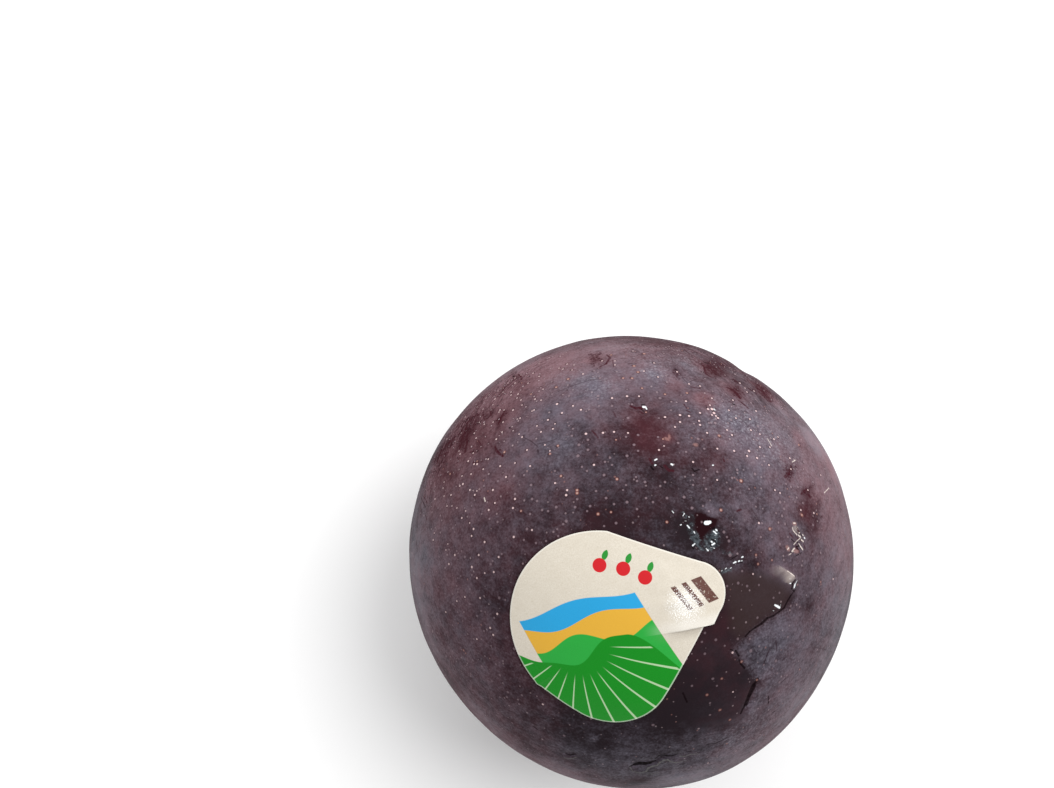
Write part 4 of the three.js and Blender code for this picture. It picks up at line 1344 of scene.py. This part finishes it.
def fine_marks(n, core, colour, family, layers, grit, wear):
    """Lay a family's marks on the colour, from the run that is stored around each of them."""
    kind = MARK_FAMILIES[family]
    for i in range(layers):
        name = f"{family}{i}_"
        middle, reach = n.attribute(name + "middle", "Vector"), n.attribute(name + "reach", "Vector")
        length = n.add(n.vector("DOT_PRODUCT", reach, reach, out="Value"), SHORTEST_REACH)

        def inside(point):
            off = n.vector("SUBTRACT", point, middle)
            share = n.math("DIVIDE", n.vector("DOT_PRODUCT", off, reach, out="Value"), length)
            share = n.math("MAXIMUM", n.math("MINIMUM", share, 1.0), -1.0)
            gap = n.vector("DISTANCE", off, n.vector("SCALE", reach, scale=share), out="Value")
            return n.times_add(grit, kind["ragged"], n.minus(n.attribute(name + "half"), gap))

        strength = n.times(n.attribute(name + "strength"), wear)
        if kind["pit"]:
            # a dark pit beside each mark, painted as its shade, shifted by chance
            chance = n.node("ShaderNodeTexWhiteNoise", {"Vector": middle}).outputs["Color"]
            shift = n.vector("SCALE", n.vector("SUBTRACT", chance, (0.5, 0.5, 0.5)), scale=PIT_SHADE_SHIFT)
            shade = n.band(inside(n.vector("ADD", core, shift)), -PIT_SHADE_EDGE, 0.0)
            colour = n.mix(n.times(shade, strength, kind["pit"]), colour, PIT_SHADE_COLOUR)
        shown = n.times(n.band(inside(core), -kind["soft"], kind["soft"]), strength)
        colour = n.mix(shown, colour, n.attribute(name + "tint", "Color"))
    return colour


def with_marks(n, skin, colour, layer_counts):
    """The colour with the dried smear, the bump's pale side with a painted highlight, the fine marks and the
    stem scar.
    """
    dried = n.mix(n.band(n.spread(skin.grain, 1.3, skin.mottle), 0.30, 0.80), THIN_FILM, THICK_FILM)
    # pale flecks on the film: painted highlights
    dried = n.mix(n.times(n.band(skin.grain, 0.64, 0.74), 0.4), dried, FILM_HIGHLIGHT_FLECKS)
    # the bump's pale side, painted brighter towards its ridge as a highlight, and the pale scrape
    scarred = n.times(skin.scar, n.attribute("scar_highlight"), n.band(skin.streaks, 0.3, 0.6, 0.75, 1.1))
    colour = n.paint(colour, (n.times(skin.film, 0.78), dried), (scarred, PALE_SCAR_HIGHLIGHT))
    core, grit = n.attribute("core", "Vector"), n.minus(skin.grain, 0.5)
    for family, count in layer_counts.items():
        wear = skin.worn if family == "rub" else 1.0
        colour = fine_marks(n, core, colour, family, count, grit, wear)
    stem = n.band(n.attribute("stem"), SCAR_RADIUS + BARK_EDGE[0], SCAR_RADIUS + BARK_EDGE[1])
    return n.mix(stem, colour, n.mix(skin.grain, DARK_BARK, PALE_BARK))


def skin_material(layer_counts):
    n = Nodes("plum_skin")
    place = n.places()
    skin = skin_patterns(n, place)
    ruddy = n.band(n.spread(skin.hue, 0.65, n.attribute("ruddy")), 0.0, 1.0)
    thickness = wax_thickness(n, skin)
    cover = wax_cover(n, skin, thickness)
    colour = n.paint(
        n.mix(cover, flesh_colour(n, skin, ruddy), wax_colour(n, skin, ruddy, thickness)),
        (n.times(n.band(skin.brushed, 0.50, 0.58), skin.matt, 0.66), DARK_BRUSHING),
        (n.times(n.band(skin.brushed, 0.44, 0.38), skin.matt, 0.36), PALE_BRUSHING),
    )
    colour, raised = with_lenticels(n, skin, place, colour)
    roughness = n.band(cover, 0.0, 0.4, BARE_ROUGHNESS, WAXED_ROUGHNESS)
    n.wire(with_marks(n, skin, colour, layer_counts), n.shader.inputs["Base Color"])
    n.wire(n.times_add(skin.matt, MATT_ROUGHENING, roughness), n.shader.inputs["Roughness"])
    n.wire(SKIN_GLOSS, n.shader.inputs["Specular IOR Level"])
    n.wire(SKIN_IOR, n.shader.inputs["IOR"])
    n.bump(n.times_add(skin.mottle, 0.8, n.times_add(raised, 0.6, skin.grain)), SKIN_BUMP)
    return n.material


# ---- Label piece ----
PAPER_THICKNESS = 0.10
PAPER_GAP = 0.05
PLEAT_INNER, PLEAT_OUTER = (6.2, -2.55), (11.6, -3.47)
PLEAT = dict(rise=0.32, full=0.5, foot=(-0.12, 0.06), fade=1.8)
PLEAT_SWELL = dict(rise=0.10, distance=3.2, width=0.7)      # the paper bulges again beyond the pleat
CORNER_CREASE = ((-9.9, -5.0), (-6.0, -3.45))
CORNER_RISE, CORNER_WIDTH = 0.13, 0.35
PAPER_WAVES = dict(rise=0.015, length=6, seed=11, lift=1.5, calm=6)
CRUMPLE = dict(rise=0.012, length=1.7, seed=12, lift=1)
RINGS, CROWDING = 46, 1.15            # rings of cells in the paper, closer together towards the edge
TOP_BOX, UNDER_BOX = (0.74, (0.02, 0.24)), (0.19, (0.78, 0.02))     # size and corner on the export's map
RIM_START, RIM_LENGTH, RIM_TOP, RIM_FOOT = 0.02, 0.96, 0.225, 0.215


def flat_line(flat, start, end):
    """Distance from a line in the flat label, positive above the line, and the share along it."""
    start, end = np.array(start), np.array(end)
    run = end - start
    share = (flat - start) @ run / (run @ run)
    side = (run[0] * (flat[:, 1] - start[1]) - run[1] * (flat[:, 0] - start[0])) / np.linalg.norm(run)
    return side, share


def in_space(flat):
    """Flat points with a third coordinate of zero."""
    return np.concatenate([flat, np.zeros((len(flat), 1))], 1)


def paper_lift(flat):
    """How far the paper stands off the skin: a pleat at the tab, a crease at the lower left, slight waves."""
    side, share = flat_line(flat, PLEAT_INNER, PLEAT_OUTER)
    over = smooth(side, *PLEAT["foot"]) * np.exp(-np.maximum(side, 0) / PLEAT["fade"])
    lift = PLEAT["rise"] * smooth(share, 0.0, PLEAT["full"]) * over
    swell = bell(side - PLEAT_SWELL["distance"], PLEAT_SWELL["width"])
    lift += PLEAT_SWELL["rise"] * smooth(share, -0.6, 0.4) * swell * smooth(share, 1.3, 0.6)
    crease, part = flat_line(flat, *CORNER_CREASE)
    lift += CORNER_RISE * bell(crease, CORNER_WIDTH) * smooth(part, -0.1, 0.2) * smooth(part, 1.1, 0.5)
    wave = waves(in_space(flat), PAPER_WAVES["length"], PAPER_WAVES["seed"]) + PAPER_WAVES["lift"]
    lift += PAPER_WAVES["rise"] * wave * smooth(np.linalg.norm(flat, axis=1), 0, PAPER_WAVES["calm"])
    tab = smooth(flat[:, 0], 5.5, 9.0) * smooth(flat[:, 1], -4.0, -1.0)
    wave = waves(in_space(flat), CRUMPLE["length"], CRUMPLE["seed"]) + CRUMPLE["lift"]
    lift += CRUMPLE["rise"] * tab * wave
    return np.maximum(lift, 0)


def make_label():
    edge = outline_points(FINE_SPACING)
    count = len(edge)
    shares = 1 - (1 - np.linspace(0, 1, RINGS + 1)[1:]) ** CROWDING
    top = np.concatenate([np.zeros((1, 2)), *[edge * share for share in shares]])
    both = np.concatenate([top, top])
    lift = paper_lift(top)
    heights = np.concatenate([PAPER_GAP + PAPER_THICKNESS + lift, PAPER_GAP + lift])
    places = skin_place(label_directions(both), heights)

    def at(ring, place):
        return 1 + ring * count + place % count

    size, last = len(top), RINGS - 1
    cells = [(0, at(0, i), at(0, i + 1)) for i in range(count)]
    for ring, i in itertools.product(range(last), range(count)):
        cells.append((at(ring, i), at(ring + 1, i), at(ring + 1, i + 1), at(ring, i + 1)))
    low = edge.min(0)
    laid = (top - low) / (edge.max(0) - low).max()
    faces, corners = [], []
    for first, order, (scale, corner) in ((0, -1, TOP_BOX), (size, 1, UNDER_BOX)):
        for cell in cells:
            faces.append([vertex + first for vertex in cell[::order]])
            corners += [laid[vertex] * scale + corner for vertex in cell[::order]]
    for i in range(count):
        faces.append([at(last, i), at(last, i + 1), at(last, i + 1) + size, at(last, i) + size])
        left, right = (RIM_START + RIM_LENGTH * place / count for place in (i, i + 1))
        corners += [(left, RIM_TOP), (right, RIM_TOP), (right, RIM_FOOT), (left, RIM_FOOT)]
    piece = make_piece("label_paper", places, faces, corners)
    mesh = piece.data
    beyond, share = flat_line(both, PLEAT_INNER, PLEAT_OUTER)
    store(mesh, "flat", in_space(both))
    store(mesh, "inside", -signed_distance(both, edge))
    store(mesh, "pleat", beyond)
    store(mesh, "pleat_share", share)
    mesh.materials.append(label_material())
    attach(piece, "root")
    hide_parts("label")


# ---- Label material: lengths on the flat label are in millimetres ----
PAPER, PALE_PAPER = (0.60, 0.545, 0.455), (0.69, 0.635, 0.545)
PAPER_FLECKS, PAPER_THREADS, PAPER_CLOUDS = (0.50, 0.44, 0.34), (0.78, 0.74, 0.66), (0.57, 0.51, 0.42)
SKY, SUN_BAND, FAR_HILLS = (0.020, 0.330, 0.640), (0.700, 0.390, 0.040), (0.020, 0.360, 0.045)
HILLS, FURROWS = (0.0030, 0.235, 0.0090), (0.480, 0.640, 0.400)
LEAF, BERRY, BAR = (0.02, 0.25, 0.03), (0.560, 0.012, 0.018), (0.095, 0.028, 0.020)
# painted glare on the tab, with its sparkles
TAB_SHINE, TAB_SPARKS = (0.80, 0.78, 0.74), (0.92, 0.91, 0.88)
# painted shade under the pleat and painted light along its top; bare paper at the cut edge
PLEAT_SHADE, PLEAT_SHINE, CUT_PAPER = (0.30, 0.26, 0.22), (0.84, 0.82, 0.78), (0.85, 0.84, 0.78)
SKY_WAVE, SKY_LEVEL = (13.5, 0.5, 2.4), 3.2                     # length, height and shift of a wavy top
SUN_WAVE, SUN_LEVEL = (11.0, 0.5, 1.2), 1.3
FAR_WAVE, FAR_LEVEL, FAR_SLOPE = (9.5, 0.8, 3.4), -1.0, -0.06
HILL_WAVES = ((13.5, 1.1, 0.6), (5.8, 0.28, 1.9))
HILL_FALL = (2.5, 8.5, -2.2, -7.2)                              # between two places, from one level to another
INSET_LEAN, INSET_ENDS = 0.25, (-8.4, 5.6)                      # how the bands lean and where they end
FURROW_START, FURROW_COUNT = (-3.0, -1.2), 26
FURROW_REACH, FURROW_DEPTH = (3.4, 5.0), (0.25, 0.5)            # from their start and under the hilltop
BERRIES = ((2.1, 6.6), (4.5, 5.5), (6.5, 3.9))
BERRY_RADIUS = 0.78
LEAF_RADIUS = 0.77
LEAF_SIDES = ((0.55, 1.15), (1.25, 0.60))     # from the berry to the middles of two rounds: a leaf is in both
PRINT_SOFTNESS, ROUND_SOFTNESS = 0.04, 0.03
TAB_BARS = ((9.75, 0.28), (11.0, 0.28), (12.5, 0.62))           # place and half a width
BAR_LOW, BAR_HIGH, BAR_LEAN = -1.1, 2.0, 0.35
# where the painted glare on the tab lies and how far it reaches
GLARE, GLARE_REACH = (9.8, -0.3), (3.0, 0.4)
PAPER_ROUGHNESS, LABEL_GLOSS, LABEL_BUMP = (0.36, 0.50), 0.2, 0.015


class LabelNodes(Nodes):
    """Nodes with the flat label's coordinates and noises, and with the shapes that its print is made of."""

    def __init__(self):
        super().__init__("label_paper")
        self.flat = self.attribute("flat", "Vector")
        self.x, self.y, _ = self.parts("XYZ", self.flat)
        self.fibre = self.noise(self.flat, 6.0, 4.0, 0.7)
        self.flecks = self.noise(self.flat, 2.2, 4.0, 0.75)

    def below(self, level):
        return self.band(self.minus(level, self.y), -PRINT_SOFTNESS, PRINT_SOFTNESS)

    def wave(self, length, height, shift):
        return self.times(self.math("SINE", self.times_add(self.x, 2 * math.pi / length, shift)), height)

    def within(self, value, low, high):
        rising = self.band(value, low - PRINT_SOFTNESS, low + PRINT_SOFTNESS)
        return self.times(rising, self.band(value, high + PRINT_SOFTNESS, high - PRINT_SOFTNESS))

    def away(self, centre):
        return self.vector("DISTANCE", self.flat, (*centre, 0.0), out="Value")

    def disc(self, centre, radius):
        return self.band(self.away(centre), radius + ROUND_SOFTNESS, radius - ROUND_SOFTNESS)


def bare_paper(n):
    """Cream paper with flecks, threads and soft clouds."""
    clouds = n.noise(n.flat, 0.5, 3.0, 0.6)
    threads = n.noise(n.vector("MULTIPLY", n.flat, (0.5, 3.0, 1.0)), 2.2, 3.0, 0.7)
    return n.paint(
        n.mix(n.band(n.fibre, 0.3, 0.7), PAPER, PALE_PAPER),
        (n.times(n.band(n.flecks, 0.54, 0.70), 0.40), PAPER_FLECKS),
        (n.times(n.band(threads, 0.60, 0.70), 0.50), PAPER_THREADS),
        (n.times(n.band(clouds, 0.40, 0.65), 0.25), PAPER_CLOUDS),
    )


def landscape(n, ink):
    """The ink with two wavy bands over rolling green hills with ploughed rows, and what is printed so far."""
    hills = n.add(n.add(n.wave(*HILL_WAVES[0]), n.wave(*HILL_WAVES[1])), n.band(n.x, *HILL_FALL))
    far_hills = n.add(n.add(n.wave(*FAR_WAVE), FAR_LEVEL), n.times(n.x, FAR_SLOPE))
    inset = n.within(n.times_add(n.y, INSET_LEAN, n.x), *INSET_ENDS)
    across, down, _ = n.parts("XYZ", n.vector("SUBTRACT", n.flat, (*FURROW_START, 0.0)))
    bearing = n.times(n.math("ARCTAN2", across, n.times(down, -1.0)), FURROW_COUNT)
    rows = n.times(n.band(n.math("SINE", bearing), 0.93, 0.97), n.band(n.away(FURROW_START), *FURROW_REACH))
    rows = n.times(rows, n.band(n.minus(hills, n.y), *FURROW_DEPTH), 0.85)
    ink = n.paint(
        ink,
        (n.times(n.below(n.add(n.wave(*SKY_WAVE), SKY_LEVEL)), inset), SKY),
        (n.times(n.below(n.add(n.wave(*SUN_WAVE), SUN_LEVEL)), inset), SUN_BAND),
        (n.times(n.below(far_hills), inset), FAR_HILLS),
        (n.below(hills), HILLS),
        (rows, FURROWS),
    )
    return ink, n.most(inset, n.below(hills))


def berry_spray(n, ink):
    """The ink with three plain round berries, each with a leaf."""
    for left, up in BERRIES:
        leaf = n.times(*(n.disc((left + beside, up + above), LEAF_RADIUS) for beside, above in LEAF_SIDES))
        ink = n.paint(ink, (leaf, LEAF), (n.disc((left, up), BERRY_RADIUS), BERRY))
    return ink


def tab_bars(n, ink, inked):
    """The ink with three worn bars on the tab, and what is printed with them."""
    leaning = n.times_add(n.y, BAR_LEAN, n.x)
    for middle, half in TAB_BARS:
        bar = n.times(n.within(leaning, middle - half, middle + half), n.within(n.y, BAR_LOW, BAR_HIGH))
        printed = n.times(bar, n.band(n.flecks, 0.63, 0.59, 0.20, 0.97))
        inked = n.most(inked, printed)
        ink = n.mix(printed, ink, BAR)
    return ink, inked


def label_wear_and_light(n, ink, inked):
    """The ink with painted glare on the worn tab, painted light and shade along the pleat, and bare paper at
    the cut edge.
    """
    shine = n.band(n.away(GLARE), *GLARE_REACH)
    sparks = n.band(n.times_add(shine, 0.17, n.noise(n.flat, 7.0, 2.0, 0.6)), 0.64, 0.69)
    pleat, along = n.attribute("pleat"), n.attribute("pleat_share")
    shaded = n.times(n.band(pleat, -1.5, -0.05), n.band(pleat, 0.06, -0.02))
    raised = n.times(n.band(pleat, 1.6, 0.5), n.band(pleat, -0.02, 0.05))
    cut = n.band(n.attribute("inside"), 0.20, 0.10)
    return n.paint(
        ink,
        (n.times(shine, n.minus(1.0, inked), 0.30), TAB_SHINE),
        (n.times(sparks, n.band(shine, 0.0, 0.25)), TAB_SPARKS),
        (n.times(shaded, n.band(along, -0.3, 0.7, 0.0, 0.45)), PLEAT_SHADE),
        (n.times(raised, n.band(along, -0.4, 0.5, 0.0, 0.40)), PLEAT_SHINE),
        (n.times(cut, 0.45), CUT_PAPER),
    )


def label_material():
    n = LabelNodes()
    ink, inked = landscape(n, bare_paper(n))
    ink, inked = tab_bars(n, berry_spray(n, ink), inked)
    n.wire(label_wear_and_light(n, ink, inked), n.shader.inputs["Base Color"])
    n.wire(n.band(n.fibre, 0.3, 0.7, *PAPER_ROUGHNESS), n.shader.inputs["Roughness"])
    n.wire(LABEL_GLOSS, n.shader.inputs["Specular IOR Level"])
    n.bump(n.times_add(n.flecks, 0.8, n.fibre), LABEL_BUMP)
    return n.material


# ---- Stage: lengths are in metres ----
FLOOR_SIZE = 6
FLOOR_GREY, FLOOR_ROUGHNESS, FLOOR_GLOSS = 0.9, 0.9, 0.1
LAMPS = {  # azimuth, elevation, distance, size, power in watts
    "key": (22, 62, 0.9, 0.6, 5.1),
    "back": (108, 44, 0.9, 1.3, 4.6),
}
WORLD_STRENGTH = 0.62


def make_floor():
    bpy.ops.mesh.primitive_plane_add(size=FLOOR_SIZE)
    floor = bpy.context.object
    floor.name = "floor"
    n = Nodes("floor")
    n.wire((FLOOR_GREY, FLOOR_GREY, FLOOR_GREY), n.shader.inputs["Base Color"])
    n.wire(FLOOR_ROUGHNESS, n.shader.inputs["Roughness"])
    n.wire(FLOOR_GLOSS, n.shader.inputs["Specular IOR Level"])
    floor.data.materials.append(n.material)


def make_lights():
    for name, (azimuth, elevation, distance, size, power) in LAMPS.items():
        light = bpy.data.lights.new(name, "AREA")
        light.shape = "DISK"
        light.size = size
        light.energy = power
        lamp = bpy.data.objects.new(name, light)
        bpy.context.collection.objects.link(lamp)
        toward = direction(azimuth, elevation)
        lamp.location = toward * distance + fruit_centre * MM
        lamp.rotation_euler = Vector(toward).to_track_quat("Z", "Y").to_euler()
    world = bpy.data.worlds.new("studio")
    world.use_nodes = True
    background = world.node_tree.nodes["Background"].inputs
    background["Color"].default_value = (1, 1, 1, 1)
    background["Strength"].default_value = WORLD_STRENGTH
    bpy.context.scene.world = world
    bpy.context.scene.view_settings.view_transform = "Standard"


make_camera()
make_skin()
make_label()
make_floor()
make_lights()
